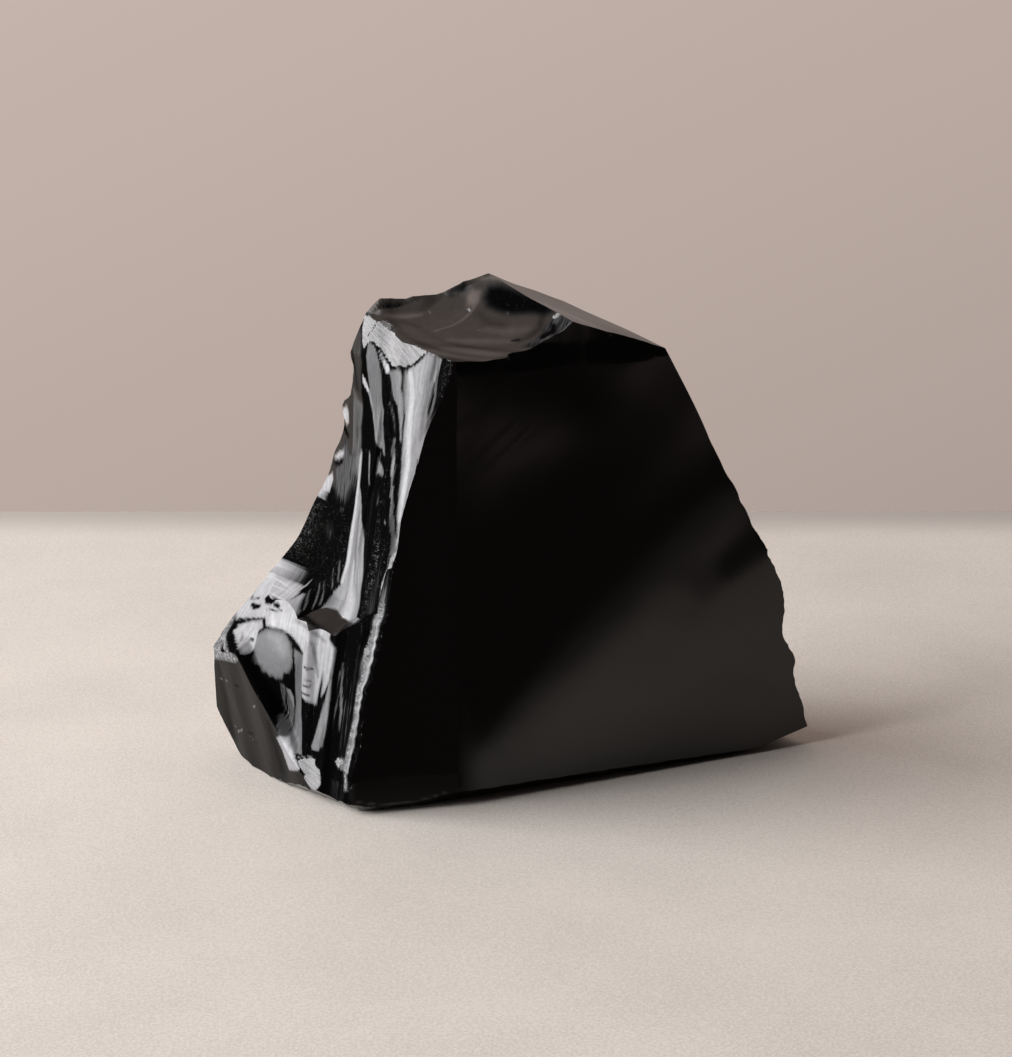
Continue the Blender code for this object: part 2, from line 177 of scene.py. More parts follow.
def undercutRelief(u, v):
    corner = 2.2 * np.exp(-(((u + 0.6) / 3.0) ** 2)) * (1 - fade(v, 4.0, 9.0))
    return corner + 0.3 * np.sin(2 * math.pi * (u + 0.3 * v) / 13.0) + 0.1 * lumps(u, v, 3.0, 3.0, 32)


top = {"facing": -29.2, "tilt": 67.2, "through": (-5.8, 18.0, 77.0), "u": (-24, 24, 0.35),
       "v": (-24, 20, 0.3),
       "rim": ((-22, -20.6, -19.4, -17.8, -15.5, -14.3, -12.3, -10.6, -9.5, -8.3, -7, -6.1, -5, -3.4, -1.9),
               (-0.1, 1.2, 2.2, 2.1, 1.3, 1.4, 0.9, 0.35, 0.35, 0.65, 0.7, 0.95, 0.7, 0.3, 0.0))}


def rimAway(u, v):  # mm from the far rim of the top, less than 0 before it
    return v - 2.5 - 0.51 * (u + 19.4)


def topRelief(u, v):
    scoop = -2.4 - 0.033 * u + 0.11 * v + 0.025 * v ** 2
    inner = np.hypot((u + 12.0) / 9.0, (v - 5.0) / 6.5)
    crescent = -0.35 * (1 - fade(inner, 0.6, 1.05))
    away, rise = rimAway(u, v), np.interp(u, *top["rim"])
    lip = np.clip(rise - 0.9, 0.0, 1.0)
    reach = -1.0 - 2.4 * fade(u, -21.5, -17.0) * (1 - fade(u, -12.0, -9.0))
    rim = (rise - lip) * fade(away, reach, 0.0)
    waves = 0.06 * np.sin(2 * math.pi * (v - 0.02 * (u - 4.0) ** 2) / 3.4) * (1 - fade(v, -2.0, 2.0))
    return scoop + crescent + rim + lip * fade(away, -0.75, -0.4) + waves + 0.05 * lumps(u, v, 2.5, 2.5, 41)


slope = {"facing": 81.8, "tilt": 68.9, "through": (11.0, 14.0, 77.1), "u": (-20, 20, 1.0),
         "v": (-24, 24, 1.0)}


def slopeRelief(u, v):
    return 0.15 * lumps(u, v, 9.0, 9.0, 42) + 0.03 * lumps(u, v, 2.0, 6.0, 43)


def rightRelief(u, v, edge, seed):
    nearEdge = 1 - fade(u, 1.0, 9.0)
    chips = np.interp(v, *edge) * nearEdge - bites(v, 1.7, 0.22, seed + 2) * (1 - fade(u, 0.5, 4.0))
    bowl = -2.0 * hump(u, 22.0, 22.0) * hump(v, 10.0, 45.0)
    return chips + bowl + 0.5 * lumps(u, v, 14.0, 14.0, seed) * fade(u, 2.0, 8.0)


# "edge" is how far the ragged right edge of the broad face stands out, along v
upperRight = {"facing": 150.0, "tilt": 21.6, "through": (45.7, 28.2, 35.1), "u": (-4, 46, 0.9),
              "v": (-6, 44, 0.45),
              "edge": ((-2, -1, 0.8, 2.7, 4.4, 5.8, 7.5, 9, 10.4, 12.3,
                        14.2, 15.4, 17.3, 19.6, 21, 22.5, 24.6, 25.6, 26.7, 28.7),
                       (-0.3, 0, -0.15, -0.3, -0.5, -0.3, -0.2, -0.5, -0.1, 0.05,
                        -0.25, -0.25, 0.1, 0.1, -0.3, 0, 0.4, 0.35, -0.1, 0))}
lowerRight = {"facing": 132.0, "tilt": 11.2, "through": (47.2, 28.9, 31.9), "u": (-4, 46, 0.9),
              "v": (-38, 7, 0.45),
              "edge": ((-32, -28, -25.9, -23.6, -21.6, -20.2, -19.3, -17.9, -16.4,
                        -14.6, -12.9, -11, -9.3, -7.5, -5.2, -3, -0.9, 1),
                       (-0.6, -0.55, -0.7, -1, -1, -0.65, 0.1, 0, -0.55,
                        -1, -1.4, -0.75, 0.05, 0.35, 0.6, 0.45, 0.3, 0))}


def upperRightRelief(u, v):
    return rightRelief(u, v, upperRight["edge"], 31)


def lowerRightRelief(u, v):
    return rightRelief(u, v, lowerRight["edge"], 33)


back = {"facing": 178.0, "tilt": 20.0, "through": (-11.0, 31.0, 80.0), "u": (-30, 30, 0.9),
        "v": (-88, 4, 0.9)}


def backRelief(u, v):
    far = np.hypot(u - 6.0, v - 4.0)
    bowl = -3.0 * np.exp(-((far / 26.0) ** 2))
    ripples = 0.35 * np.sin(2 * math.pi * far / (5.0 + 0.08 * far)) * fade(far, 8.0, 18.0)
    rays = 0.04 * lumps(np.arctan2(u - 6, v - 4), far, 0.03, 20.0, 52)
    return bowl + ripples + 0.5 * lumps(u, v, 18.0, 18.0, 51) + rays


leftBack = {"facing": -140.0, "tilt": 12.4, "through": (-23.1, 28.8, 76.0), "u": (-22, 30, 0.9),
            "v": (-80, 6, 0.9)}


def leftBackRelief(u, v):
    edgeU = np.clip(-0.43 * v, 0.0, 26.0)
    nearEdge = fade(u - edgeU, -4.5, -0.5)
    far = np.hypot(u + 6.0, v + 4.0) + 1.5 * lumps(u, v, 11.0, 11.0, 24)
    ripples = (0.12 + 0.1 * lumps(u, v, 16.0, 16.0, 25)) * np.sin(2 * math.pi * far / (6.0 + 0.05 * far))
    ripples = ripples * (1 - nearEdge)
    brow = 2.2 * fade(v, -10.0, -7.5) + 0.2 * fade(v, -6.0, 1.0)
    brow = brow + 1.3 * fade(v, -7.0, -1.0) * fade(-u, 1.0, 6.0)
    nubs = 2.7 * hump(v, -17.2, 2.6) - 0.6 * hump(v, -21.5, 3.0) + 1.2 * hump(v, -25.5, 2.0)
    nubs = nubs * fade(u - edgeU, -8.0, -3.0)
    chips = bites(v, 4.0, 0.4, 21) + bites(v, 1.1, 0.12, 22)
    return ripples + brow + nubs - chips * nearEdge - 1.5 * hump(u, -10.0, 16.0) * hump(v, -35.0, 40.0)


lift = {"facing": 90.0, "tilt": -75.0, "through": (45.6, 24.6, -1.2), "u": (-30, 30, 3), "v": (-20, 20, 3)}


def liftRelief(u, v):
    return 0.1 * lumps(u, v, 4.0, 4.0, 61)


# the undersides that set the foot back from the front faces
broadFoot = {"facing": 27.9, "tilt": -55.0, "through": broadFootAt, "u": (-20, 64, 0.8),
             "v": (-6, 6, 0.8)}
narrowFoot = {"facing": 13.8, "tilt": -55.0, "through": ridgeFoot, "u": (-6, 40, 0.5), "v": (-6, 6, 0.8),
              "hang": ((0, 3, 10.4, 15.4, 17.8, 19.4), (0.2, 0.95, 0.8, 0.45, 0, -0.25))}
toeFoot = {"facing": -45.0, "tilt": -55.0, "through": ridgeFoot, "u": (-30, 10, 0.5), "v": (-6, 6, 0.8)}


def broadFootRelief(u, v):
    return 0.023 * np.clip(u, 0, 60) - 0.25 - bites(u, 2.4, 0.1, 62) + 0.05 * lumps(u, v, 2.0, 2.0, 63)


def narrowFootRelief(u, v):
    return np.interp(u, *narrowFoot["hang"]) - bites(u, 2.4, 0.12, 64) + 0.05 * lumps(u, v, 2.0, 2.0, 65)


def toeFootRelief(u, v):
    return 0.25 * lumps(u, v, 2.5, 2.5, 66) - bites(u, 2.0, 0.3, 67)


fluted = {"facing": -57.7, "tilt": 16.5, "through": ridgeFoot, "u": (-48, 4, 0.3), "v": (16, 84, 0.5),
          "ridge": ((0, 17, 23, 28, 34.5, 41, 48, 52, 57, 62, 65, 69, 75, 84),
                    (0, 1.9, 1.7, 1.1, 2, 2.3, 2.7, 2.35, 1.95, 1.9, 1.5, 0.6, 0.3, 0.1)),
          "far": ((14, 21, 26.7, 31.5, 37.4, 47, 56, 64, 72, 79.3),
                  (12, 9.5, 5.4, 0.7, -0.9, -2.2, -2.2, -1.3, 0.8, 0.1)),
          "flutes": (((-26, 80), (-11, 58), 3.0, 1.2, 0.8), ((-10, 77), (-1.5, 41), 8.0, 1.0, 1.5),
                     ((-19, 64), (-9.5, 28), 0.8, 2.6, 0.9), ((-29, 66), (-14, 30), 2.4, 4.0, 1.0),
                     ((-12, 62), (-4.5, 30), 1.2, 2.2, 0.7))}


def flutes(u, v):
    out = np.zeros_like(u)
    for (topU, topV), (footU, footV), topHalf, footHalf, depth in fluted["flutes"]:
        share = np.clip((topV - v) / (topV - footV), 0.0, 1.0)
        middle = topU + (footU - topU) * share
        half = topHalf + (footHalf - topHalf) * share
        along = fade(v, footV - 3.0, footV + 5.0) * (1 - fade(v, topV - 4.0, topV + 4.0))
        out -= depth * np.clip(1 - ((u - middle) / half) ** 2, 0, None) * along
    return out


def fanShare(v):
    return np.clip((78.0 - v) / 50.0, -0.2, 1.3)


def fan(s, v):  # leans the lines of the fluted face along its flutes
    return s + fanShare(v) * (6.0 - 0.4 * np.clip(s, -60.0, 5.0))


def unfan(u, v):
    share = fanShare(v)
    return (u - 6.0 * share) / (1.0 - 0.4 * share)


def flutedRelief(u, v):
    farU = -29.4 - 0.165 * (79.0 - v)
    share = np.clip(1 - u / farU, 0.0, 1.0)
    ridge, far = np.interp(v, *fluted["ridge"]), np.interp(v, *fluted["far"])
    flare = 5.2 * np.clip((39 - v) / 11, 0, 1.3) ** 2 * fade(-u, 15.0, 24.0) * fade(share, -0.02, 0.08)
    bevel = 0.12 * np.clip(v - 71.5 - 0.2 * (u + 18), 0, 8) * fade(-u, 5.0, 10.0) * fade(u, -30.0, -24.0)
    s = unfan(u, v)
    streaks = 0.02 * lumps(s, v, 0.9, 16.0, 71) + 0.012 * lumps(s, v, 0.4, 9.0, 72)
    chips = (bites(v, 2.6, 0.35, 73) + bites(v, 1.1, 0.15, 74)) * fade(u, -2.2, 0.3)
    chips = chips * (1 - fade(v, 42.0, 48.0))
    return far + (ridge - far) * share + flare - bevel + flutes(u, v) + streaks - chips


ledge = {"facing": -40.0, "tilt": 50.0, "through": (-29.5, 2.8, 26.0), "u": (-30, 14, 0.5),
         "v": (-14, 40, 0.5),
         "lip": ((-30, -23.3, -16.4, -11.2, -4, 1.2, 5.9, 9), (-5.5, -3.1, -0.9, 0.4, 0.3, 0, 2, 3.6))}


def ledgeRelief(u, v):
    return np.interp(u, *ledge["lip"]) - 0.25 * np.clip(v - 1.0, 0, 20.0) + 0.05 * lumps(u, v, 1.5, 1.5, 81)


# every face that cuts the stone, in the order of the cuts
faces = [("base", None, None), ("broad", broad, broadRelief), ("narrow", narrow, narrowRelief),
         ("toe", toe, toeRelief), ("heel", heel, heelRelief), ("undercut", undercut, undercutRelief),
         ("top", top, topRelief), ("slope", slope, slopeRelief), ("upperRight", upperRight, upperRightRelief),
         ("lowerRight", lowerRight, lowerRightRelief), ("back", back, backRelief),
         ("leftBack", leftBack, leftBackRelief), ("lift", lift, liftRelief),
         ("broadFoot", broadFoot, broadFootRelief), ("narrowFoot", narrowFoot, narrowFootRelief),
         ("toeFoot", toeFoot, toeFootRelief), ("fluted", fluted, flutedRelief), ("ledge", ledge, ledgeRelief)]
faceIndex = {name: k for k, (name, plan, relief) in enumerate(faces)}
planes = {name: Face(plan["facing"], plan["tilt"], plan["through"]) for name, plan, relief in faces if plan}
markers = [bpy.data.materials.new("face_" + name) for name, plan, relief in faces]


def steps(low, high, spacing):
    count = max(2, round((high - low) / spacing) + 1)
    return np.concatenate([[-cutReach], np.linspace(low, high, count), [cutReach]])


def fillMesh(name, points, polygons, slot):
    mesh = bpy.data.meshes.new(name)
    mesh.from_pydata((points * mm).tolist(), [], polygons)
    for marker in markers:
        mesh.materials.append(marker)
    mesh.polygons.foreach_set("material_index", [slot] * len(polygons))
    return newObject(name, mesh)


def cutter(name, lean=None):
    # all that lies outside the face, as a closed block with the relief on its inner side
    plan, relief, face = faces[faceIndex[name]][1], faces[faceIndex[name]][2], planes[name]
    u, v = np.meshgrid(steps(*plan["u"]), steps(*plan["v"]), indexing="ij")
    u = lean(u, v) if lean else u
    height = relief(u, v)
    height[[0, -1], :] = 0.0
    height[:, [0, -1]] = 0.0
    columns, rows = u.shape
    endsU, endsV = np.array([-1, 1, 1, -1]) * cutReach, np.array([-1, -1, 1, 1]) * cutReach
    points = np.concatenate([face.place(u, v, height).reshape(-1, 3),
                             face.place(endsU, endsV, np.full(4, cutReach))])
    i, j = np.meshgrid(np.arange(columns - 1), np.arange(rows - 1), indexing="ij")
    a, b, c, d = i * rows + j, (i + 1) * rows + j, (i + 1) * rows + j + 1, i * rows + j + 1
    odd = ((i + j) % 2)[..., None]
    first = np.where(odd, np.stack([a, c, b], -1), np.stack([a, d, b], -1)).reshape(-1, 3)
    second = np.where(odd, np.stack([a, d, c], -1), np.stack([b, d, c], -1)).reshape(-1, 3)
    polygons = first.tolist() + second.tolist()
    lid = columns * rows
    rims = ([k * rows for k in range(columns)], [(columns - 1) * rows + k for k in range(rows)],
            [k * rows + rows - 1 for k in reversed(range(columns))], list(reversed(range(rows))))
    for k, rim in enumerate(rims):
        polygons.append(tuple(rim) + (lid + (k + 1) % 4, lid + k))
    polygons.append((lid, lid + 1, lid + 2, lid + 3))
    return fillMesh("cut_" + name, points, polygons, faceIndex[name])


def boolean(target, tool, operation):
    modifier = target.modifiers.new(tool.name, "BOOLEAN")
    modifier.operation = operation
    modifier.solver = "MANIFOLD"
    modifier.object = tool


def cutStone():
    (west, south, ground), (east, north, height) = stockBox
    ring = ((west, south), (east, south), (east, north), (west, north))
    corners = np.array([(x, y, z) for z in (ground, height) for x, y in ring])
    sides = [(k, (k + 1) % 4, (k + 1) % 4 + 4, k + 4) for k in range(4)]
    stock = fillMesh("stock", corners, [(0, 3, 2, 1), (4, 5, 6, 7)] + sides, 0)
    tools = [cutter(name) for name, plan, relief in faces[1:-2]]
    for tool in tools:
        boolean(stock, tool, "DIFFERENCE")
    flakes, above = cutter("fluted", fan), cutter("ledge")
    boolean(flakes, above, "INTERSECT")
    boolean(stock, flakes, "DIFFERENCE")
    bpy.context.view_layer.update()
    result = bpy.data.meshes.new_from_object(stock.evaluated_get(bpy.context.evaluated_depsgraph_get()))
    for obj in [stock, flakes, above] + tools:
        bpy.data.objects.remove(obj)
    return result


stoneMesh = cutStone()
stoneMesh.name = "obsidian_stone"
stone = newObject("obsidian_stone", stoneMesh)
print("stone cut:", len(stoneMesh.polygons), "faces,", len(stoneMesh.materials), "markers")



def read(collection, what, width, kind=float):
    out = np.zeros(len(collection) * width, np.float32 if kind is float else np.int32)
    collection.foreach_get(what, out)
    return out.reshape(-1, width) if width > 1 else out


slack = 1e-5  # metres that the stone stays inside the box of its solid


def keepInside(mesh):
    # clips the points into the box of the solid, and gives them back in metres
    points = read(mesh.vertices, "co", 3).astype(float)
    low, high = np.array(cadBox[0]) + slack, np.array(cadBox[1]) - slack
    points = np.clip(points, [low[0], low[1], 0.0], high)
    mesh.vertices.foreach_set("co", points.ravel())
    return points


points = keepInside(stoneMesh)
loopVertex = read(stoneMesh.loops, "vertex_index", 1, int)
polyStart = read(stoneMesh.polygons, "loop_start", 1, int)
polyTotal = read(stoneMesh.polygons, "loop_total", 1, int)
polyFace = read(stoneMesh.polygons, "material_index", 1, int)
loopFace = np.repeat(polyFace, polyTotal)
loopPoint = points[loopVertex] / mm
print("regions:", {name: int((polyFace == k).sum()) for k, (name, plan, relief) in enumerate(faces)})

# what each mark leaves on the surface: crushed white, mirror, painted sheen (a diffuse tone standing in for
# reflected light), bright grit, warm tint of the painted sheen, fine lines
# most kinds lay painted sheen, grey where it stands in for the softbox mirrored in the glass and warm where
# it stands in for the wall; the mirror, the crushed white and the dull black are the stone's own
kinds = {"clean": lambda a: (0, a, 0, 0, 0, 0), "glassAndPaintedSheen": lambda a: (0, 0.42 * a, 0.36 * a, 0, 0, 0.55),
         "bright": lambda a: (0, 0.5, 0.45 + 0.4 * a, 0, 0, 0.5), "paintedSheen": lambda a: (0, 0.12, a, 0, 0, 1),
         "smoothPaintedSheen": lambda a: (0, 0.3 * a, 0.4 * a, 0, 0, 0.12), "frost": lambda a: (a, 0.3, 0.2, 0, 0, 1),
         "black": lambda a: (0, 0.006, 0.0, a, 0, 1), "paintedWarmSheen": lambda a: (0, 0.3, a, 0, 1, 0.1)}


def depthInside(u, v, shape):
    # mm inside the edge of an outline of (u, v) points, or of a line of (u, v, half width) points
    if len(shape[0]) == 3:
        best = np.full_like(u, -1e9)
        for (au, av, aw), (bu, bv, bw) in zip(shape, shape[1:]):
            du, dv = bu - au, bv - av
            t = np.clip(((u - au) * du + (v - av) * dv) / (du * du + dv * dv), 0.0, 1.0)
            best = np.maximum(best, aw + t * (bw - aw) - np.hypot(u - au - t * du, v - av - t * dv))
        return best
    away = np.full_like(u, 1e9)
    within = np.zeros(u.shape, bool)
    for (au, av), (bu, bv) in zip(shape, shape[1:] + shape[:1]):
        du, dv = bu - au, bv - av
        t = np.clip(((u - au) * du + (v - av) * dv) / (du * du + dv * dv), 0.0, 1.0)
        away = np.minimum(away, np.hypot(u - au - t * du, v - av - t * dv))
        if dv != 0:
            within ^= ((av > v) != (bv > v)) & (u < au + (v - av) * du / dv)
    return np.where(within, away, -away)


def paint(marks, ground, u, v):
    # lays the marks over each other, later ones on top
    out = np.tile(np.array(kinds[ground[0]](ground[1]), float), (len(u), 1))
    for kind, amount, soft, shape in marks:
        cover = fade(depthInside(u, v, shape), -soft, soft)[:, None]
        out = out * (1 - cover) + np.array(kinds[kind](amount)) * cover
    return out


# The marks below lay painted light: their grey tones are a diffuse sheen standing in for the softbox mirrored
# in the glass, with painted highlights in the bright strokes, and their brown tones stand in for the warm
# wall mirrored in it; the mirror share, the crushed white and the dull black are the stone's own surface.
flutedMarks = [
    # dark side facet, the ramp under it and the crushed rim along the outer edge
    ("paintedWarmSheen", 0.02, 0.4, [(-36, 80), (-30.5, 75.5), (-28.3, 70.8), (-28.6, 65), (-26.5, 58), (-25, 52),
        (-30, 48), (-38, 50), (-38, 80)]),
    ("glassAndPaintedSheen", 0.16, 0.3, [(-31.8, 72, 0.5), (-31, 69.5, 0.7), (-30, 66, 0.3)]),
    ("glassAndPaintedSheen", 0.30, 1.2, [(-31.5, 58), (-29, 55.5), (-26, 55), (-24.3, 50), (-25, 46.5), (-29.5, 47),
        (-32, 49.5), (-33, 53)]),
    ("glassAndPaintedSheen", 0.32, 0.2, [(-29.3, 63, 0.2), (-28, 59, 0.25), (-25.6, 54, 0.3), (-23, 50, 0.2)]),
    ("black", 2.2, 0.8, [(-40, 46), (-36.2, 45.6), (-34, 42.6), (-32.4, 41.5), (-29, 41), (-30.6, 37),
        (-33, 35.4), (-36, 34.6), (-40, 34.6)]),
    ("black", 1.0, 0.5, [(-32.4, 46), (-25, 45.8), (-22.5, 44), (-20.2, 40), (-17.6, 34), (-21, 30),
        (-26, 32), (-31, 34.5), (-31.5, 36), (-30, 40)]),
    ("glassAndPaintedSheen", 0.30, 0.3, [(-26, 45.3, 0.2), (-24.7, 45.3, 0.4)]),
    ("paintedSheen", 0.07, 1.2, [(-28.5, 41.8, 0.5), (-26.5, 40.8, 0.7)]),
    ("glassAndPaintedSheen", 0.22, 0.3, [(-29.3, 39, 0.3), (-28.7, 38.6, 0.3)]),
    ("bright", 0.3, 0.25, [(-36.9, 47.2), (-35.6, 49.2), (-33.4, 50.6), (-32.4, 49.5), (-32.6, 46.5),
        (-33.2, 43.2), (-34.2, 44.2)]),
    ("bright", 0.25, 0.25, [(-34.8, 61.5), (-33, 62.6), (-32, 61.6), (-31.3, 60), (-31.9, 59.4),
        (-33, 60.2), (-34.9, 60.8)]),
    ("black", 0.0, 0.2, [(-35.2, 60.1, 0.2), (-32.5, 58.7, 0.45), (-30.4, 57.6, 0.3)]),
    ("bright", 0.15, 0.3, [(-34.4, 53.3), (-33, 54.5), (-31.2, 55), (-30.6, 54.2), (-32, 53.5),
        (-33.6, 53)]),
    ("black", 0.0, 0.2, [(-34.2, 52.3, 0.2), (-32, 52.4, 0.4), (-30.3, 53.3, 0.2)]),
    # left flute with its bright margin, and the black gap beside it
    ("black", 0.1, 0.3, [(-28.9, 66), (-24.9, 66.2), (-20.6, 61), (-18.5, 58), (-17.6, 55),
        (-16.9, 51.5), (-22.5, 50), (-25.3, 55), (-27.6, 60)]),
    ("glassAndPaintedSheen", 0.10, 0.2, [(-25.2, 56.2, 0.15), (-20.2, 56.7, 0.2)]),
    ("glassAndPaintedSheen", 0.50, 0.25, [(-27.9, 74.6), (-26.5, 74.4), (-24.5, 73.2), (-22.7, 71.8), (-21.6, 70.5),
        (-20.9, 68.5), (-19.6, 65.5), (-18.5, 63.5), (-18, 61.5), (-17.6, 59.5), (-17.2, 58.3),
        (-18.3, 58), (-20.5, 61.2), (-23.5, 64.2), (-25, 66.6), (-26.5, 70.5)]),
    ("glassAndPaintedSheen", 0.85, 0.25, [(-24.9, 66.3, 0.3), (-21.5, 62.6, 0.3), (-19, 59.2, 0.3), (-17.9, 58.2, 0.4)]),
    ("glassAndPaintedSheen", 0.72, 0.7, [(-20.5, 64, 0.4), (-18.6, 60, 0.8)]),
    ("black", 0.0, 0.2, [(-27.8, 71.8), (-26.2, 69.5), (-24.8, 66.9), (-26, 67.6), (-27.2, 68.8)]),
    ("bright", 0.4, 0.15, [(-27.8, 68.6), (-26.8, 68.2), (-25.5, 67.1), (-24.9, 66.5), (-25.4, 66.3),
        (-26.5, 66.8), (-27.8, 67.4)]),
    ("black", 0.5, 0.3, [(-24, 73.6), (-22, 71.6), (-21.2, 70), (-19.8, 66), (-18.4, 62.3), (-17.6, 59),
        (-17, 53), (-14.3, 53), (-11.5, 52), (-10.5, 52), (-9, 58), (-11.5, 64), (-13.3, 65.8),
        (-16.8, 66.8), (-18.3, 68.4), (-20.3, 71.3)]),
    ("glassAndPaintedSheen", 0.62, 0.25, [(-17.9, 62.4), (-17.2, 61.7), (-16, 59.8), (-14.8, 58.3), (-13.8, 56.6),
        (-14.7, 57), (-15.9, 58), (-16.3, 57.5), (-17, 58.4)]),
    ("glassAndPaintedSheen", 0.72, 0.3, [(-17.6, 56.3), (-16.9, 55), (-15.9, 57.3), (-15.6, 55.7), (-14, 55.2),
        (-12.4, 53.8), (-13, 53.4), (-14.5, 53.7), (-16.6, 53.2)]),
    ("glassAndPaintedSheen", 0.30, 0.15, [(-17.4, 65.6, 0.15), (-14.8, 62.9, 0.2), (-13.3, 61.2, 0.15)]),
    ("glassAndPaintedSheen", 0.75, 0.2, [(-20.8, 56.6), (-20, 56.3), (-17, 51.3), (-17.6, 51.8), (-19.5, 54.5)]),
    # right flute: grey left part, dark thread, bright body, hackle up to the ridge
    ("glassAndPaintedSheen", 0.70, 0.3, [(-20.2, 71), (-18, 70.9), (-16.3, 71.5), (-15.3, 71.4), (-14.6, 70.3),
        (-14.2, 68.6), (-13.1, 67.2), (-12.4, 66), (-11.7, 64.3), (-9.8, 60), (-10.4, 60.4),
        (-11.6, 62.5), (-12.6, 64.3), (-13.5, 65.5), (-15, 66.2), (-16.2, 66.1), (-17.2, 66.7),
        (-18.3, 68.3)]),
    ("glassAndPaintedSheen", 0.50, 0.3, [(-14.6, 72.2), (-13.9, 68.8), (-11.2, 64.5), (-9.5, 60.5), (-8.3, 57),
        (-5.7, 50.4), (-3, 44), (-2.2, 42.6), (-2.4, 44.5), (-4.5, 50), (-7.5, 57), (-9.4, 62),
        (-12, 67.5), (-13.6, 71)]),
    ("glassAndPaintedSheen", 0.92, 0.3, [(-13.8, 72), (-12.4, 73.3), (-11.2, 75), (-10.4, 75.6), (-4.6, 75.2),
        (-5.5, 72.5), (-6.4, 70), (-6.4, 67.5), (-5, 65.5), (-0.4, 65.2), (0.4, 62), (-0.4, 60),
        (-0.7, 57), (-1.5, 50), (-1.2, 46), (-2.4, 43.2), (-3.4, 44.4), (-4.4, 47), (-6.3, 51.6),
        (-7.8, 55.6), (-9, 58.7), (-10.3, 62.2), (-12.6, 67.4), (-13.8, 70.6)]),
    ("glassAndPaintedSheen", 0.55, 1.0, [(-7.6, 75, 1.2), (-7.6, 71, 1.1), (-6.5, 66, 1.0), (-4.5, 62, 1.0)]),
    ("glassAndPaintedSheen", 0.25, 0.5, [(-7.7, 75.2, 0.35), (-7.4, 71.5, 0.4)]),
    ("bright", 0.35, 0.25, [(-13.2, 71.5, 0.4), (-11.5, 68, 0.5), (-9.2, 62.5, 0.5), (-7.4, 58, 0.5),
        (-5.6, 53, 0.45), (-3.8, 47.5, 0.3)]),
    ("bright", 0.2, 0.3, [(-6.2, 74.5, 0.25), (-6, 71.5, 0.3)]),
    ("glassAndPaintedSheen", 0.30, 1.6, [(-4.6, 66.5), (0.4, 66), (0.4, 62.5), (-3.6, 63)]),
    ("black", 1.6, 1.8, [(-4.4, 77), (-0.2, 77), (0.5, 69.5), (-2.4, 69), (-4.0, 71)]),
    ("paintedSheen", 0.16, 0.9, [(-6.0, 74.5, 0.5), (-4.8, 70, 0.8), (-2.6, 66.5, 0.8)]),
    ("black", 0.2, 0.15, [(-4.2, 58.3), (-1.6, 58.6), (-0.6, 57), (-1, 56.3), (-3, 56.4)]),
    ("black", 0.4, 0.2, [(-8.6, 57.2, 0.12), (-7, 53.5, 0.2), (-5.6, 50, 0.25), (-3.4, 44.8, 0.3)]),
    ("glassAndPaintedSheen", 0.60, 0.15, [(-7.6, 52.6, 0.15), (-5.2, 48, 0.25), (-3, 43.6, 0.3), (-2.4, 42, 0.3)]),
    # thin bright tongues between the flutes
    ("glassAndPaintedSheen", 0.80, 0.15, [(-12.9, 60.2, 0.12), (-11.6, 57, 0.25), (-10.6, 54.6, 0.35),
        (-9.4, 52.4, 0.35)]),
    ("glassAndPaintedSheen", 0.50, 0.4, [(-10.4, 54.7), (-9.4, 54.2), (-8.9, 56), (-8, 53), (-7, 50.8), (-8.8, 50.6),
        (-10, 52.8)]),
    ("black", 1.0, 0.5, [(-11.9, 55, 0.3), (-10.3, 49.5, 0.4), (-8.6, 41.5, 0.4), (-7.4, 35, 0.5),
        (-5.8, 29, 0.6)]),
    ("glassAndPaintedSheen", 0.22, 0.3, [(-12.6, 51, 0.2), (-11.4, 49, 0.5)]),
    ("glassAndPaintedSheen", 0.55, 0.15, [(-8.3, 46.4, 0.15), (-6.3, 46.5, 0.2)]),
    ("black", 1.6, 1.0, [(-9, 44), (-4.2, 44), (-2.8, 38), (-3.2, 30), (-8, 29), (-8.6, 36)]),
    ("paintedSheen", 0.05, 1.0, [(-5.6, 40, 0.5), (-5.2, 32, 0.8)]),
    ("glassAndPaintedSheen", 0.10, 0.6, [(-15.8, 50), (-14, 50), (-11.5, 42), (-9.6, 34), (-9, 29.5), (-10.5, 32),
        (-12.6, 40)]),
    # the long streak down to the ledge
    ("glassAndPaintedSheen", 0.88, 0.2, [(-26, 56.2), (-24.5, 52.5), (-23, 49), (-21.5, 45), (-20.2, 41), (-19, 38),
        (-17.8, 35.5), (-17.4, 33.5), (-17.9, 32), (-17.6, 30), (-18, 27), (-14.5, 27), (-8.4, 26.5),
        (-8.8, 28.9), (-10.2, 31.7), (-10.9, 34), (-11.4, 36), (-12.4, 38), (-13.3, 39.8), (-14.2, 42),
        (-15.5, 44.5), (-17.2, 46.8), (-17.8, 47.9), (-19.5, 48.4), (-21, 49), (-22.7, 50.2),
        (-23.6, 52.3), (-25.2, 55.6)]),
    ("bright", 0.35, 0.2, [(-25.4, 55, 0.15), (-22.8, 49.5, 0.35), (-20.2, 43, 0.45), (-18.4, 38, 0.4),
        (-17.4, 34, 0.3)]),
    ("bright", 0.30, 0.5, [(-16.2, 38, 0.4), (-14, 33, 0.9), (-12, 29, 1.2)]),
    ("glassAndPaintedSheen", 0.60, 0.4, [(-19.5, 46, 0.5), (-16.8, 40, 0.5), (-14.6, 37, 0.4)]),
    # feathered band above the ledge, with its pits
    ("bright", 0.55, 0.4, [(-46, 33.6), (-42, 33.4), (-40, 33.6), (-38.6, 34.6), (-37.4, 33.5),
        (-35.6, 33.6), (-33.8, 34.3), (-33.2, 33), (-31.6, 33.6), (-30.4, 33), (-29.4, 33.2),
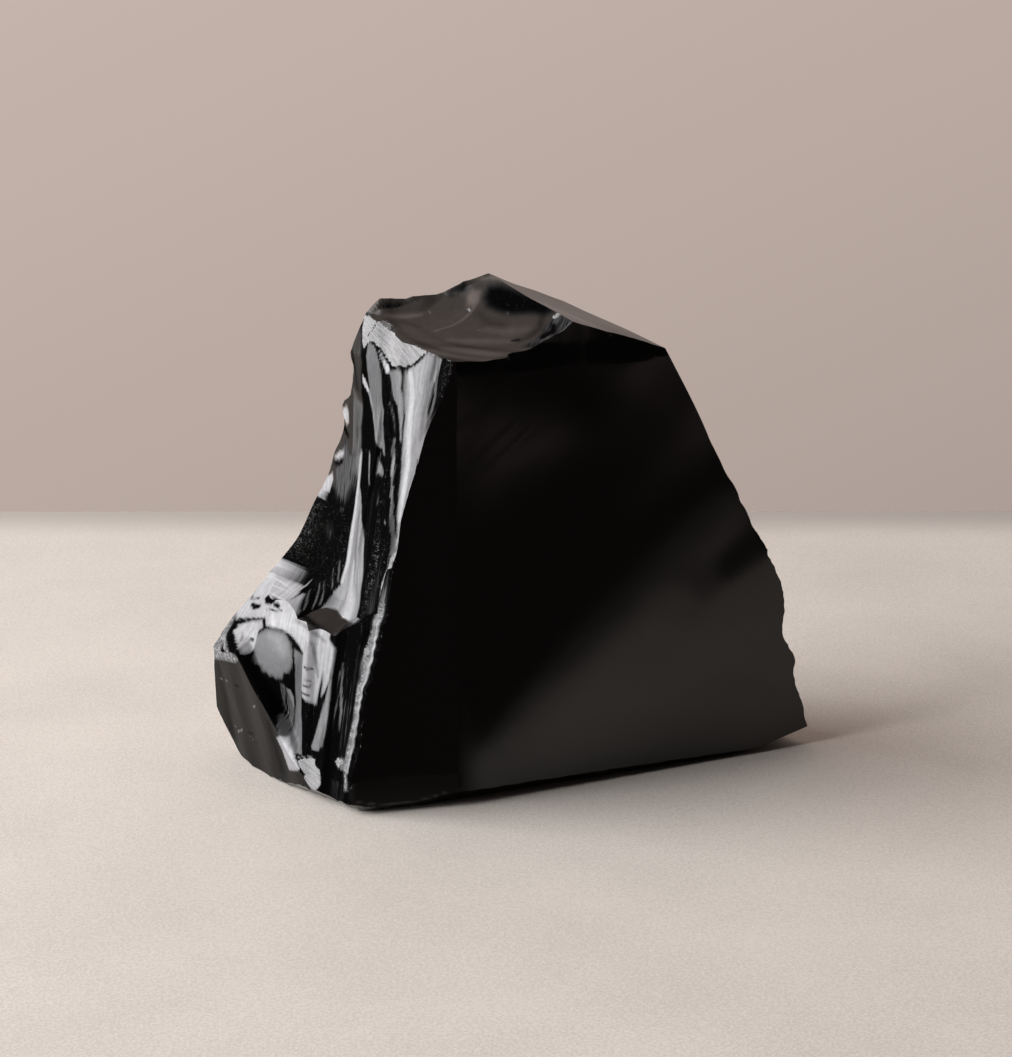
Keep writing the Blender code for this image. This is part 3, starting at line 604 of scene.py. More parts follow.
        (-28.4, 31.8), (-26.8, 32), (-25.8, 30.9), (-24.2, 31.2), (-23, 30.1), (-21.8, 30.2), (-21, 29),
        (-20.2, 27.8), (-19.6, 27.2), (-20.5, 23), (-46, 20)]),
    ("bright", 0.2, 0.5, [(-38, 31.6, 0.3), (-34, 31.4, 0.4), (-29, 30.4, 0.3)]),
    ("bright", 0.2, 0.2, [(-23.8, 30.6, 0.3), (-23.8, 32.6, 0.03)]),
    ("black", 0.5, 0.2, [(-36.5, 34.8, 0.5), (-36.8, 32.4, 0.03)]),
    ("black", 0.5, 0.2, [(-24.8, 32, 0.4), (-24.9, 29.2, 0.03)]),
    ("black", 0.5, 0.2, [(-22.4, 31.2, 0.35), (-22.6, 28.6, 0.03)]),
    ("black", 0.0, 0.2, [(-27.4, 28.6), (-26, 28.7), (-23.6, 28.1), (-22.4, 27.3), (-23.5, 27.1),
        (-25.5, 27.5), (-26.7, 28.1)]),
    ("black", 0.0, 0.2, [(-28.9, 27.5), (-27, 27.7), (-27.4, 27.2), (-28.5, 27.1)]),
    ("glassAndPaintedSheen", 0.45, 0.12, [(-21.4, 32.6, 0.08), (-19.2, 29.8, 0.14), (-18.8, 28.6, 0.12)]),
    ("glassAndPaintedSheen", 0.45, 0.12, [(-20.6, 33, 0.08), (-18.6, 30.3, 0.14), (-18.2, 29.2, 0.12)]),
    ("glassAndPaintedSheen", 0.35, 0.12, [(-20.4, 35.8, 0.08), (-18.4, 32.6, 0.16)]),
    ("glassAndPaintedSheen", 0.35, 0.12, [(-20, 37, 0.08), (-18.1, 33.8, 0.16)]),
    ("glassAndPaintedSheen", 0.40, 0.12, [(-22, 31.2, 0.08), (-20, 29, 0.14), (-19.4, 27.8, 0.12)]),
    # crushed patch under the top rim
    ("frost", 0.9, 0.2, [(-31.5, 78.6), (-29.6, 79.3), (-27.5, 82), (-10, 79), (-11.2, 75.2),
        (-12.2, 74.8), (-13.5, 73), (-15, 72.2), (-17, 71.8), (-19.5, 71.9), (-22, 72.8), (-24, 74),
        (-26.5, 74.7), (-27.5, 74.9), (-28.5, 73.2), (-29.3, 74), (-31, 76.5)]),
    ("paintedWarmSheen", 0.012, 0.25, [(-38, 78.6), (-31.2, 78.9), (-29, 79.1), (-27.6, 78.8), (-26, 77.7),
        (-24.5, 77.3), (-20, 76.9), (-15, 76.1), (-11, 75.7), (-6, 75.6), (-6, 84), (-38, 84)]),
    ("black", 0.0, 0.15, [(-27.6, 78.4, 0.1), (-27.8, 77, 0.15), (-28.6, 75.3, 0.1)]),
    ("black", 0.0, 0.15, [(-26.8, 74.6, 0.08), (-24.5, 73.9, 0.14), (-22.5, 72.7, 0.2),
        (-20.5, 71.7, 0.2), (-18.5, 71.4, 0.2), (-16, 71.9, 0.15), (-13.8, 72.2, 0.15)]),
    ("black", 0.0, 0.15, [(-13.6, 72.4, 0.15), (-12.5, 73.7, 0.22), (-11.5, 74.9, 0.1)]),
    ("bright", 0.5, 0.15, [(-24.4, 73.8), (-21.8, 72.2), (-20, 71.3), (-20, 70.5), (-20.6, 70.3),
        (-21.5, 71.2), (-23, 72.7)]),
    # crushed edge along the ridge
    ("frost", 0.62, 0.4, [(-1.8, 44.4, 0.2), (-1.8, 41.5, 0.6), (-1.6, 39.5, 0.5), (-1.9, 37, 1.0),
        (-1.6, 34, 0.8), (-1.3, 31, 1.0), (-1.1, 28, 0.8), (-0.9, 25, 1.1), (-0.8, 20, 1.0)]),
]

ledgeMarks = [
    ("bright", 0.02, 0.4, [(-30, -6), (-30, 40), (-13, 40), (-6.8, 6), (-7.2, 4.2), (-8.8, 2.6),
        (-11, 1.9), (-12, -8)]),
    ("black", 0.2, 0.5, [(-10.5, 1.7, 0.1), (-7.5, 2.1, 0.45), (-4.5, 1.0, 0.5), (-1.5, 0.1, 0.3)]),
    ("black", 1.2, 0.4, [(4.6, 2), (5.2, 3.2), (4.2, 8), (16, 8), (16, -4), (4, 0.6)]),
    ("glassAndPaintedSheen", 0.8, 0.3, [(-6.2, 5.4), (-2.4, 5.1), (-0.5, 4), (2, 3.4), (4.4, 2.6), (4.4, 8), (-6, 20)]),
]

toeMarks = [
    # rough rim at the far left and the bright strips along the ledge
    ("frost", 0.42, 0.5, [(-42, 27), (-37.6, 26.6), (-36.6, 24.6), (-36.2, 21), (-35, 18.4),
        (-31.8, 17.4), (-33, 16.6), (-36, 16.4), (-42, 16)]),
    ("bright", 0.35, 0.4, [(-38.4, 27), (-37, 25), (-36, 24), (-30, 25.2), (-26.5, 26.2), (-24, 27),
        (-24, 38), (-46, 38), (-42, 30)]),
    ("bright", 0.25, 0.3, [(-34.5, 25, 0.2), (-30, 26.1, 0.3), (-26.2, 27.2, 0.35)]),
    ("black", 0.0, 0.2, [(-35.6, 24.2, 0.15), (-31, 25.1, 0.2), (-27, 26, 0.08)]),
    ("bright", 0.25, 0.3, [(-27, 38), (-30.5, 27.6), (-29, 27.4), (-25.5, 27.5), (-27, 26.2),
        (-26, 24.9), (-21, 25.2), (-18.5, 24.6), (-16.5, 23.5), (-15, 22.2), (-14.6, 19), (-14.8, 16),
        (-14.6, 14.8), (-12.2, 14.4), (-11.6, 13.9), (-11, 14.2), (-10.6, 17.5), (-10.2, 20), (-9.9, 18),
        (-9.9, 15.8), (-9.3, 17), (-8.6, 19), (-8.4, 22), (-8.5, 24.5), (-10, 25.8), (-9, 32)]),
    ("bright", 0.6, 0.3, [(-24.9, 26.6, 0.5), (-23.9, 25.6, 0.5)]),
    ("black", 0.0, 0.2, [(-35.7, 28, 0.22), (-34.8, 27.9, 0.1), (-34, 28.2, 0.25)]),
    ("black", 0.0, 0.2, [(-34.6, 27, 0.3), (-33.6, 26.7, 0.5), (-32.1, 27.1, 0.35)]),
    ("black", 0.0, 0.25, [(-32, 28.5), (-31.4, 29.2), (-29, 29.8), (-26.4, 30), (-24.6, 30),
        (-24.6, 29.4), (-25.6, 28.6), (-30, 28)]),
    ("black", 0.0, 0.2, [(-25, 29.1), (-23.6, 29.3), (-23, 28.7), (-23.6, 28.3), (-25, 28.5)]),
    ("black", 0.2, 0.15, [(-27.5, 27.5, 0.06), (-25, 27.8, 0.14), (-22.6, 28.1, 0.14)]),
    ("bright", 0.40, 0.3, [(-22, 26.6, 0.5), (-17, 25.8, 0.5), (-13.5, 24.6, 0.3)]),
    ("glassAndPaintedSheen", 0.55, 0.4, [(-18.5, 27.3, 0.2), (-14, 26.4, 0.3), (-11, 25.2, 0.2)]),
    ("glassAndPaintedSheen", 0.60, 0.3, [(-13.4, 24.5, 0.2), (-12.6, 23, 0.3), (-11.2, 19, 0.25)]),
    # bulb, the bright patch beside it and the dark slit
    ("bright", 0.1, 0.3, [(-35, 23.2), (-32, 24.5), (-28, 25.4), (-27, 24.4), (-29, 23), (-33, 22)]),
    ("smoothPaintedSheen", 0.66, 0.7, [(-27.3, 23.5), (-25.5, 24.4), (-23.1, 24.7), (-20.2, 24.6), (-18.6, 23.6),
        (-17.6, 22.2), (-17, 20.7), (-17.3, 19.2), (-18, 18.2), (-19.2, 17.4), (-19.9, 16.8),
        (-20.7, 16.8), (-21.6, 16.5), (-22.3, 16.9), (-23.4, 16.6), (-24, 17), (-25.2, 17.2),
        (-25.6, 17.8), (-26.8, 18.2), (-27.9, 19.8), (-29, 21.2), (-28.9, 22.4)]),
    ("smoothPaintedSheen", 0.90, 1.4, [(-24.5, 23.2, 0.2), (-21.5, 23, 0.5), (-19.4, 21.4, 0.3)]),
    ("black", 0.3, 0.3, [(-19, 18.2), (-17.9, 17.8), (-17.4, 15.6), (-18.2, 13.8), (-19.6, 14.2),
        (-19.5, 16.4)]),
    ("bright", 0.35, 0.2, [(-35.2, 22.1), (-33.8, 23.4), (-31.5, 24.5), (-29.4, 24.4), (-28.3, 23.2),
        (-28.2, 21.2), (-28.4, 19.8), (-29.2, 19.6), (-30.4, 20.3), (-33, 21)]),
    ("bright", 0.75, 0.3, [(-29.6, 20.4, 0.2), (-28.9, 19.7, 0.4)]),
    ("black", 0.2, 0.2, [(-29.7, 21.8, 0.25), (-29, 21.7, 0.3)]),
    ("glassAndPaintedSheen", 0.5, 0.2, [(-33, 22.4, 0.1), (-31.2, 21, 0.15)]),
    ("black", 0.2, 0.25, [(-36.4, 21.6), (-34, 20.8), (-31.5, 20.2), (-29.5, 19.2), (-28, 18.4),
        (-27, 17.4), (-29.5, 17.2), (-31.5, 18.8), (-34, 20)]),
    ("frost", 0.45, 0.3, [(-36.5, 20.4, 0.3), (-33.5, 19.2, 0.5), (-31, 18, 0.5)]),
    ("black", 0.0, 0.15, [(-19.7, 24.7, 0.1), (-18, 24, 0.25), (-16.3, 22.7, 0.35), (-15.1, 22.2, 0.15)]),
    # the grey strip beside the black hollow under the bulb
    ("paintedSheen", 0.12, 0.4, [(-20.4, 16.2), (-19.2, 16), (-17, 12.2), (-16.6, 9), (-14.4, 5), (-15, 4.6),
        (-18, 8.5), (-20, 11.5), (-20.8, 13.5)]),
    ("glassAndPaintedSheen", 0.70, 0.2, [(-19, 15.6), (-17.6, 15.3), (-16.9, 14), (-16.9, 12.1), (-17.6, 13)]),
    # the two ribs, the ripples between them and the sliver
    ("glassAndPaintedSheen", 0.52, 0.25, [(-17.2, 22.6), (-16.4, 19), (-16.5, 14), (-16.8, 10.5), (-16.5, 8),
        (-15, 5.2), (-12.3, 5.2), (-12.9, 7.2), (-13.9, 8.8), (-14.9, 12), (-14.9, 16), (-14.6, 19),
        (-14.9, 22)]),
    ("glassAndPaintedSheen", 0.42, 0.3, [(-19.6, 10.6, 0.3), (-17.8, 8, 0.6), (-15.5, 5.5, 0.6), (-14.3, 4.6, 0.4)]),
    ("black", 0.0, 0.12, [(-17.3, 22, 0.1), (-16.9, 20.8, 0.2), (-16.6, 18.5, 0.15), (-16.7, 15, 0.15),
        (-16.9, 12.5, 0.1)]),
    ("black", 0.0, 0.12, [(-14.2, 20.3, 0.1), (-13.2, 19.9, 0.2), (-12.3, 20.1, 0.1)]),
    ("glassAndPaintedSheen", 0.25, 0.15, [(-13.9, 18.2, 0.1), (-12.4, 18.1, 0.15)]),
    ("glassAndPaintedSheen", 0.25, 0.15, [(-14.2, 17, 0.1), (-12.6, 16.9, 0.2), (-12.2, 17.6, 0.1)]),
    ("glassAndPaintedSheen", 0.20, 0.15, [(-14.8, 15.6, 0.15), (-12.4, 15.5, 0.2)]),
    ("black", 0.5, 0.4, [(-14.8, 14.4), (-11.4, 14.4), (-10.6, 13.6), (-10.9, 7), (-11.4, 5.4),
        (-12.4, 6), (-13.4, 8.6), (-14.6, 11.4)]),
    ("glassAndPaintedSheen", 0.80, 0.2, [(-8.4, 19), (-8, 19.6), (-7.8, 16), (-7.7, 12), (-7.7, 9.5), (-8.5, 8),
        (-8.7, 6.8), (-10.4, 6.7), (-10.7, 7.2), (-10.2, 9.5), (-9.4, 13), (-8.8, 16.5)]),
    ("glassAndPaintedSheen", 0.45, 0.4, [(-8.1, 11.5, 0.2), (-8.4, 8, 0.5)]),
    ("glassAndPaintedSheen", 0.70, 0.1, [(-8.1, 24.6, 0.12), (-8.1, 19.5, 0.12)]),
    ("glassAndPaintedSheen", 0.50, 0.15, [(-6.6, 22.2, 0.08), (-6.3, 18, 0.25), (-5.7, 14.5, 0.3), (-5.6, 11, 0.1)]),
    ("glassAndPaintedSheen", 0.14, 0.8, [(-4.4, 16, 0.5), (-3.6, 12, 0.9), (-3.4, 6, 0.9)]),
    ("glassAndPaintedSheen", 0.45, 0.15, [(-7, 21, 0.04), (-6.7, 15, 0.12), (-6.5, 10, 0.04)]),
    ("glassAndPaintedSheen", 0.35, 0.15, [(-5.2, 20, 0.04), (-4.9, 15, 0.1), (-4.6, 8, 0.04)]),
    ("glassAndPaintedSheen", 0.35, 0.15, [(-3.8, 22, 0.04), (-3.5, 14, 0.1), (-3.2, 6, 0.04)]),
    ("glassAndPaintedSheen", 0.40, 0.15, [(-2.7, 26, 0.05), (-2.6, 18, 0.12), (-2.6, 10, 0.04)]),
    # crushed ridge, chips at the foot
    ("frost", 0.53, 0.4, [(-0.2, 32, 0.9), (-0.5, 28.4, 0.8), (-0.8, 25.6, 1.0), (-0.9, 23.6, 0.9),
        (-1.0, 20.6, 0.55), (-1.1, 18, 0.5), (-1.2, 14, 0.35), (-1.4, 10.4, 0.5), (-1.6, 7, 0.45),
        (-1.5, 4.4, 0.4), (-0.9, 2, 0.3)]),
    ("bright", 0.5, 0.25, [(-0.1, 31, 0.2), (-0.3, 24, 0.25), (-0.6, 18, 0.2), (-1.0, 10, 0.2),
        (-1.1, 5, 0.15)]),
    ("frost", 0.42, 0.3, [(-5, 6.6), (-2, 6.9), (-1.6, 5.2), (-3.4, 4.6)]),
    ("glassAndPaintedSheen", 0.13, 0.3, [(-5.4, 2.6), (-1.6, 2.8), (-1.4, -1), (-5.4, -1)]),
    ("frost", 1.0, 0.15, [(-13, 4.2), (-11.5, 4.9), (-9.4, 5.4), (-9, 4.2), (-7.8, 3.8), (-7.2, 2.5),
        (-7.2, 1.2), (-8, 0.1), (-9, -0.8), (-10, -0.3), (-11, -0.2), (-11.2, 1), (-10.8, 2.3),
        (-12, 3.2)]),
    ("frost", 0.8, 0.15, [(-5.4, 5.9), (-4.5, 6.5), (-4, 5.7), (-4.2, 4.7), (-5, 5.5)]),
    ("bright", 0.7, 0.2, [(-21.2, 6.6), (-18, 7.3), (-16.6, 7.5), (-14.8, 5.8), (-12.2, 3.0),
        (-12.4, 1.9), (-13.9, 1.4), (-15.2, 1.4), (-16.6, 2.9), (-19, 4.7)]),
    ("glassAndPaintedSheen", 0.6, 0.1, [(-14, 4.3, 0.08), (-12, 5.1, 0.15), (-10, 5.6, 0.1)]),
]

heelMarks = [
    ("clean", 0.22, 2.0, [(1.5, -1.5, 0.8), (1.6, -14, 1.6)]),
    ("clean", 0.58, 1.0, [(5.4, 0, 0.2), (6.4, -14, 0.3)]),
    ("clean", 0.58, 1.0, [(14.4, -3, 0.2), (16, -15, 0.3)]),
    ("clean", 0.25, 1.5, [(18, -8, 0.4), (20, -16, 1.0)]),
    ("glassAndPaintedSheen", 0.75, 0.12, [(0.5, -4.2, 0.02), (2.5, -3.9, 0.1), (4.7, -3.6, 0.04)]),
    ("glassAndPaintedSheen", 0.25, 0.15, [(7.2, -3.7, 0.06), (8.5, -3.6, 0.08)]),
    ("glassAndPaintedSheen", 0.75, 0.15, [(12.9, -6.2, 0.08), (13.6, -5.9, 0.2), (14.2, -5.6, 0.06)]),
    ("glassAndPaintedSheen", 0.70, 0.12, [(2.8, -13.9, 0.02), (5.6, -13.1, 0.08), (6.3, -12.5, 0.15), (6.9, -12.2, 0.05)]),
    ("glassAndPaintedSheen", 0.25, 0.2, [(9, -12.1, 0.08), (10.8, -12, 0.1)]),
    ("glassAndPaintedSheen", 0.7, 0.15, [(3.2, -12.4, 0.06), (5.4, -12.9, 0.14), (6.8, -12.2, 0.06)]),
    ("glassAndPaintedSheen", 0.5, 0.15, [(8.4, -12.6, 0.06), (10.6, -13.6, 0.12), (12, -13.4, 0.05)]),
    ("frost", 0.44, 0.5, [(-3, -1.2), (0, -0.8), (4, 0.2), (9, 0.9), (11, 2.2), (6, 3), (-3, 3)]),
    ("bright", 0.15, 0.2, [(19.9, -10), (23.5, -8.4), (24.8, -7.6), (28, -12), (26.4, -14.2),
        (22.8, -15.2), (21.4, -12)]),
]

topMarks = [
    # soft light and dark bands over the near half, painted warm reflection
    ("paintedWarmSheen", 0.10, 1.2, [(-4, -12), (9, -12), (9, -5.2), (3, -5.8), (-2, -6.6), (-5, -8.4)]),
    ("paintedWarmSheen", 0.03, 0.7, [(-7, -6.0, 0.2), (-1, -5.2, 0.4), (4, -4.5, 0.4), (8.2, -3.8, 0.2)]),
    ("paintedWarmSheen", 0.10, 1.0, [(-3, -3.6, 0.3), (4, -2.4, 0.7), (8, -1.7, 0.4)]),
    ("paintedWarmSheen", 0.09, 1.2, [(2, 0.6, 0.5), (7, 0.9, 0.9), (9, 2, 0.5)]),
    ("paintedWarmSheen", 0.02, 1.2, [(-1, 3.9, 0.3), (1.5, 2.4, 0.5), (4.5, 2.2, 0.3)]),
    ("paintedWarmSheen", 0.01, 0.8, [(10.8, 5, 0.5), (11.3, 2.5, 0.5), (10.4, 0.2, 0.5), (9.2, -1.2, 0.3)]),
    ("black", 0.0, 0.4, [(8, -1.4, 0.2), (8.8, -0.9, 0.3)]),
    # rough grey corner on the right, laid as painted sheen, and its pale edge, a painted highlight
    ("paintedSheen", 0.09, 0.5, [(12.2, 3.5), (13.6, 5.9), (16.6, 5.2), (15.8, 2.5), (14.2, 0), (12.8, -2.4),
        (10.4, -2.7), (11.8, -0.4)]),
    ("black", 0.8, 0.4, [(13.5, 3.5, 0.3), (13.9, 2.2, 0.4), (12.7, 0.6, 0.3)]),
    ("paintedSheen", 0.22, 0.2, [(16.5, 4.6, 0.1), (15.7, 2.5, 0.15), (14.1, -0.2, 0.15), (12.8, -2.1, 0.1)]),
    # rough black patch under the peak
    ("black", 0.9, 1.0, [(-1.4, 9.2), (1, 9.6), (5, 9), (8, 8.4), (11, 7.4), (12.2, 6.2), (11, 5.4),
        (8, 5.4), (5, 4.8), (2, 5), (0, 5.6), (-1.4, 7.2)]),
    ("black", 0.7, 0.7, [(-8, 7.4, 0.3), (-6, 8.4, 0.5)]),
    ("paintedWarmSheen", 0.14, 0.3, [(-9, 8.2, 0.15), (-6, 9.4, 0.2), (-3.6, 10.2, 0.25), (-1.5, 10.7, 0.25),
        (1, 10.5, 0.2)]),
    # crescent with its light edge and the streak in it, both painted highlights, and the slit by the rim, a
    # painted dark line of shade under the lip
    ("paintedWarmSheen", 0.15, 0.35, [(-2.3, 6, 0.1), (-2.8, 3.8, 0.15), (-3.6, 2, 0.15), (-5, 0.2, 0.1),
        (-7, -1.4, 0.05)]),
    ("paintedWarmSheen", 0.17, 0.7, [(-4.2, 8.4), (-2.6, 8.2), (-2.2, 6.4), (-2.6, 5.2), (-3.9, 5.7), (-4.6, 7)]),
    ("paintedWarmSheen", 0.14, 0.8, [(-17.8, 1, 0.05), (-15.5, 1.6, 0.4), (-12, 2.5, 0.2)]),
    ("paintedWarmSheen", 0.03, 0.8, [(-8, 7.6, 0.2), (-5.6, 7, 0.4), (-5, 5, 0.4)]),
    ("paintedWarmSheen", 0.07, 0.2, [(-21, 1.6, 0.2), (-20, 2.1, 0.35), (-18, 3.2, 0.4), (-16, 4.2, 0.4),
        (-14, 5.1, 0.2)]),
    ("paintedWarmSheen", 0.13, 0.15, [(-21.4, 1.2, 0.08), (-20.4, 1.3, 0.12), (-19.8, 1.7, 0.05)]),
    ("black", 0.0, 0.15, [(-19.6, 1.6, 0.04), (-18, 2.4, 0.13), (-16.4, 3.2, 0.12), (-14.8, 4, 0.03)]),
    # small white dots of crushed white that stand for painted glints
    ("frost", 0.8, 0.15, [(-3.5, 4.8, 0.25), (-3, 4.4, 0.2)]),
    ("frost", 1.0, 0.15, [(13, 5.2, 0.35), (13.5, 5.9, 0.35)]),
    ("frost", 0.3, 0.15, [(0.5, 0.4, 0.12), (0.8, 0.3, 0.12)]),
    ("frost", 0.2, 0.15, [(4.1, 4.9, 0.15), (4.3, 4.6, 0.12)]),
    ("frost", 0.2, 0.15, [(-10.7, 3.6, 0.12), (-10.2, 3.1, 0.1)]),
]

broadMarks = [
    ("clean", 0.12, 4.0, [(0, -6, 2.0), (0, 16, 2.0)]),
    ("clean", 0.55, 7.0, [(6, 8, 1.0), (22, 21, 2.5), (38, 33, 2.5), (52, 42, 2.0)]),
    ("clean", 0.3, 8.0, [(8, 70, 3.0), (24, 67, 4.0), (30, 61, 3.0)]),
    ("clean", 0.7, 4.0, [(44, 33, 1.0), (49, 30, 1.0)]),
    # a thin painted highlight along the crease
    ("glassAndPaintedSheen", 0.12, 0.12, [(-0.3, 1.2, 0.05), (-0.2, 14, 0.06), (-0.3, 26, 0.02)]),
]

narrowMarks = [
    ("clean", 0.3, 1.2, [(-3, 1.2, 2.6), (8, 1.2, 2.8), (24, 1, 2.2)]),
    ("clean", 1.0, 0.12, [(1.5, 0.1, 0.08), (5, -0.6, 0.1), (9, -0.9, 0.1), (13, -0.5, 0.1),
        (17, 0.5, 0.08)]),
]

# the marks of each face and the ground under them; the top's ground is painted warm sheen standing in for the
# wall's reflection
marksOf = {"narrow": (narrowMarks, ("clean", 1.0)), "fluted": (flutedMarks, ("black", 0.35)),
           "toe": (toeMarks, ("black", 0.35)), "ledge": (ledgeMarks, ("clean", 0.5)),
           "heel": (heelMarks, ("clean", 0.45)), "top": (topMarks, ("paintedWarmSheen", 0.05)),
           "broad": (broadMarks, ("clean", 1.0)), "slope": ([], ("clean", 0.72))}

combing = {"fluted": 1.0, "toe": 1.0, "ledge": 0.7}  # how strongly fine lines mark a face

# how crushed the edge between two faces is, from 0 to 1
edgeWear = {("narrow", "fluted"): 0.6, ("narrow", "toe"): 0.6, ("top", "fluted"): 0.7, ("top", "broad"): 0.5,
            ("broad", "narrow"): 0.0, ("toe", "ledge"): 0.15, ("fluted", "ledge"): 0.0}
otherEdges, rimReach = 0.4, 1.5  # what the other edges get, and how many mm from an edge it fades out
uvGap, uvUnit = 37.0, 10.0  # mm between the faces' patterns, and mm to one unit of the pattern


def crushedRim(points):
    # the edges between two faces, and how crushed each vertex is by its nearest one
    edges, sharp = {}, {}
    corner = loopVertex.tolist()
    names = [name for name, plan, relief in faces]
    for start, total, kind in zip(polyStart.tolist(), polyTotal.tolist(), polyFace.tolist()):
        for k in range(total):
            a, b = corner[start + k], corner[start + (k + 1) % total]
            key = (min(a, b), max(a, b))
            other = edges.setdefault(key, kind)
            if other != kind:
                pair = (names[min(kind, other)], names[max(kind, other)])
                sharp[key] = edgeWear.get(pair, otherEdges)
    rim = np.zeros(len(points))
    for weight in sorted(set(sharp.values())):
        alike = [key for key, kept in sharp.items() if kept == weight]
        ends = [points[list(key)].mean(0) / mm for key in alike]
        ends += [points[v] / mm for key in alike for v in key]
        tree = kdtree.KDTree(len(ends))
        for n, end in enumerate(ends):
            tree.insert(end, n)
        tree.balance()
        rim = np.maximum(rim, [weight * max(0.0, 1.0 - tree.find(p)[2] / rimReach) for p in points / mm])
    high = fade(points[:, 2] / mm, 41.0, 47.0) * (1 - fade(points[:, 2] / mm, 66.0, 70.0))
    return rim * (1 - 0.8 * high), sharp


rim, sharpEdges = crushedRim(points)
flat = np.zeros((len(loopVertex), 2))
wearAndPaintedSheen = np.zeros((len(loopVertex), 4))
grit = np.zeros((len(loopVertex), 4))
for name, plan, relief in faces:
    here = np.flatnonzero(loopFace == faceIndex[name])
    spots, spread = np.unique(loopVertex[here], return_inverse=True)
    u, v = (points[spots] / mm)[:, 0], (points[spots] / mm)[:, 1]
    if plan:
        u, v, h = planes[name].find(points[spots] / mm)
    marks, ground = marksOf.get(name, ([], ("clean", 1.0)))
    wornAndSheen = paint(marks, ground, u, v)
    wearAndPaintedSheen[here, :3] = wornAndSheen[spread, :3]
    # the grit colour carries glint density, the painted warm share of the sheen and the strength of fine
    # lines
    grit[here, :3] = wornAndSheen[spread, 3:] * (1.0, 1.0, combing.get(name, 0.4))
    across = unfan(u, v) if name == "fluted" else u
    flat[here] = np.stack([across, v], -1)[spread] + (faceIndex[name] * uvGap, 0.0)
wearAndPaintedSheen[:, 3] = rim[loopVertex]

stoneMesh.materials.clear()
stoneMesh.polygons.foreach_set("material_index", [0] * len(stoneMesh.polygons))
layer = stoneMesh.uv_layers.new(name="face")
layer.data.foreach_set("uv", (flat / uvUnit).astype(np.float32).ravel())
for name, values in (("wearAndPaintedSheen", wearAndPaintedSheen), ("grit", grit)):
    tone = stoneMesh.color_attributes.new(name, "FLOAT_COLOR", "CORNER")
    tone.data.foreach_set("color", values.astype(np.float32).ravel())
for edge in stoneMesh.edges:
    a, b = edge.vertices
    edge.use_edge_sharp = ((a, b) if a < b else (b, a)) in sharpEdges
stoneMesh.polygons.foreach_set("use_smooth", [True] * len(stoneMesh.polygons))
print("wear laid on", len(loopVertex), "corners;", len(sharpEdges), "edge pieces")



class Sock:
    # one shader value; + - * on it add Math nodes
    def __init__(self, nodes, socket):
        self.nodes, self.socket = nodes, socket

    def maths(self, operation, a, b):
        return self.nodes.add("ShaderNodeMath", {"operation": operation}, {0: a, 1: b})

    def __add__(self, other): return self.maths("ADD", self, other)
    def __radd__(self, other): return self.maths("ADD", other, self)
    def __sub__(self, other): return self.maths("SUBTRACT", self, other)
    def __rsub__(self, other): return self.maths("SUBTRACT", other, self)
    def __mul__(self, other): return self.maths("MULTIPLY", self, other)


class Nodes:
    def __init__(self, tree):
        self.tree = tree
        self.tree.nodes.clear()

    def add(self, kind, settings=None, values=None, output=0):
        node = self.tree.nodes.new(kind)
        for name, value in (settings or {}).items():
            setattr(node, name, value)
        for name, value in (values or {}).items():
            if isinstance(value, Sock):
                self.tree.links.new(value.socket, node.inputs[name])
            else:
                node.inputs[name].default_value = value
        return Sock(self, node.outputs[output]) if node.outputs else None

    def step(self, value, low, high):  # smooth 0 to 1 between low and high
        return self.add("ShaderNodeMapRange", {"interpolation_type": "SMOOTHSTEP"},
                        {"Value": value, "From Min": low, "From Max": high})

    def highest(self, a, b):
        return self.add("ShaderNodeMath", {"operation": "MAXIMUM"}, {0: a, 1: b})

    def stretched(self, vector, scale, detail, rough):  # noise scaled apart along u and v
        longer = self.add("ShaderNodeVectorMath", {"operation": "MULTIPLY"}, {0: vector, 1: scale + (1.0,)})
        return self.noise(longer, 1.0, detail, rough)

    def bump(self, strength, distance, height):
        return self.add("ShaderNodeBump", None,
                        {"Strength": strength, "Distance": distance, "Height": height})

    def surface(self, colour, roughness, values):
        return self.add("ShaderNodeBsdfPrincipled", None,
                        {"Base Color": colour, "Roughness": roughness, **values})

    def noise(self, vector, scale, detail, rough):
        return self.add("ShaderNodeTexNoise", None,
                        {"Vector": vector, "Scale": scale, "Detail": detail, "Roughness": rough})

    def blend(self, factor, a, b):  # colour mix; A and B are sockets 6 and 7 of a colour Mix node
        return self.add("ShaderNodeMix", {"data_type": "RGBA"}, {0: factor, 6: a, 7: b}, 2)

    def mixShaders(self, factor, a, b):
        return self.add("ShaderNodeMixShader", None, {0: factor, 1: a, 2: b})

    def colours(self, name):  # the four channels of a colour attribute
        marks = self.add("ShaderNodeAttribute", {"attribute_name": name})
        node = marks.socket.node
        parts = self.add("ShaderNodeSeparateColor", None, {0: marks}).socket.node
        return [Sock(self, parts.outputs[k]) for k in range(3)] + [Sock(self, node.outputs["Alpha"])]

    def axes(self, vector):  # the x, y and z of a vector
        node = self.add("ShaderNodeSeparateXYZ", None, {0: vector}).socket.node
        return [Sock(self, node.outputs[k]) for k in range(3)]

    def finish(self, shader, kind="ShaderNodeOutputMaterial"):
        self.add(kind, None, {0: shader})


# the two sheen tones below are painted reflection colours, grey for the softbox and warm for the wall
glassAndPaintedSheen = {"black": (0.0012, 0.0011, 0.0011, 1), "soot": (0.0015, 0.0015, 0.0015, 1),
         "paintedSheen": (0.39, 0.39, 0.41, 1), "paintedWarmSheen": (0.46, 0.38, 0.34, 1), "powderDark": (0.14, 0.14, 0.145, 1),
         "powderPale": (0.28, 0.28, 0.29, 1), "roughness": 0.06, "ior": 1.5}


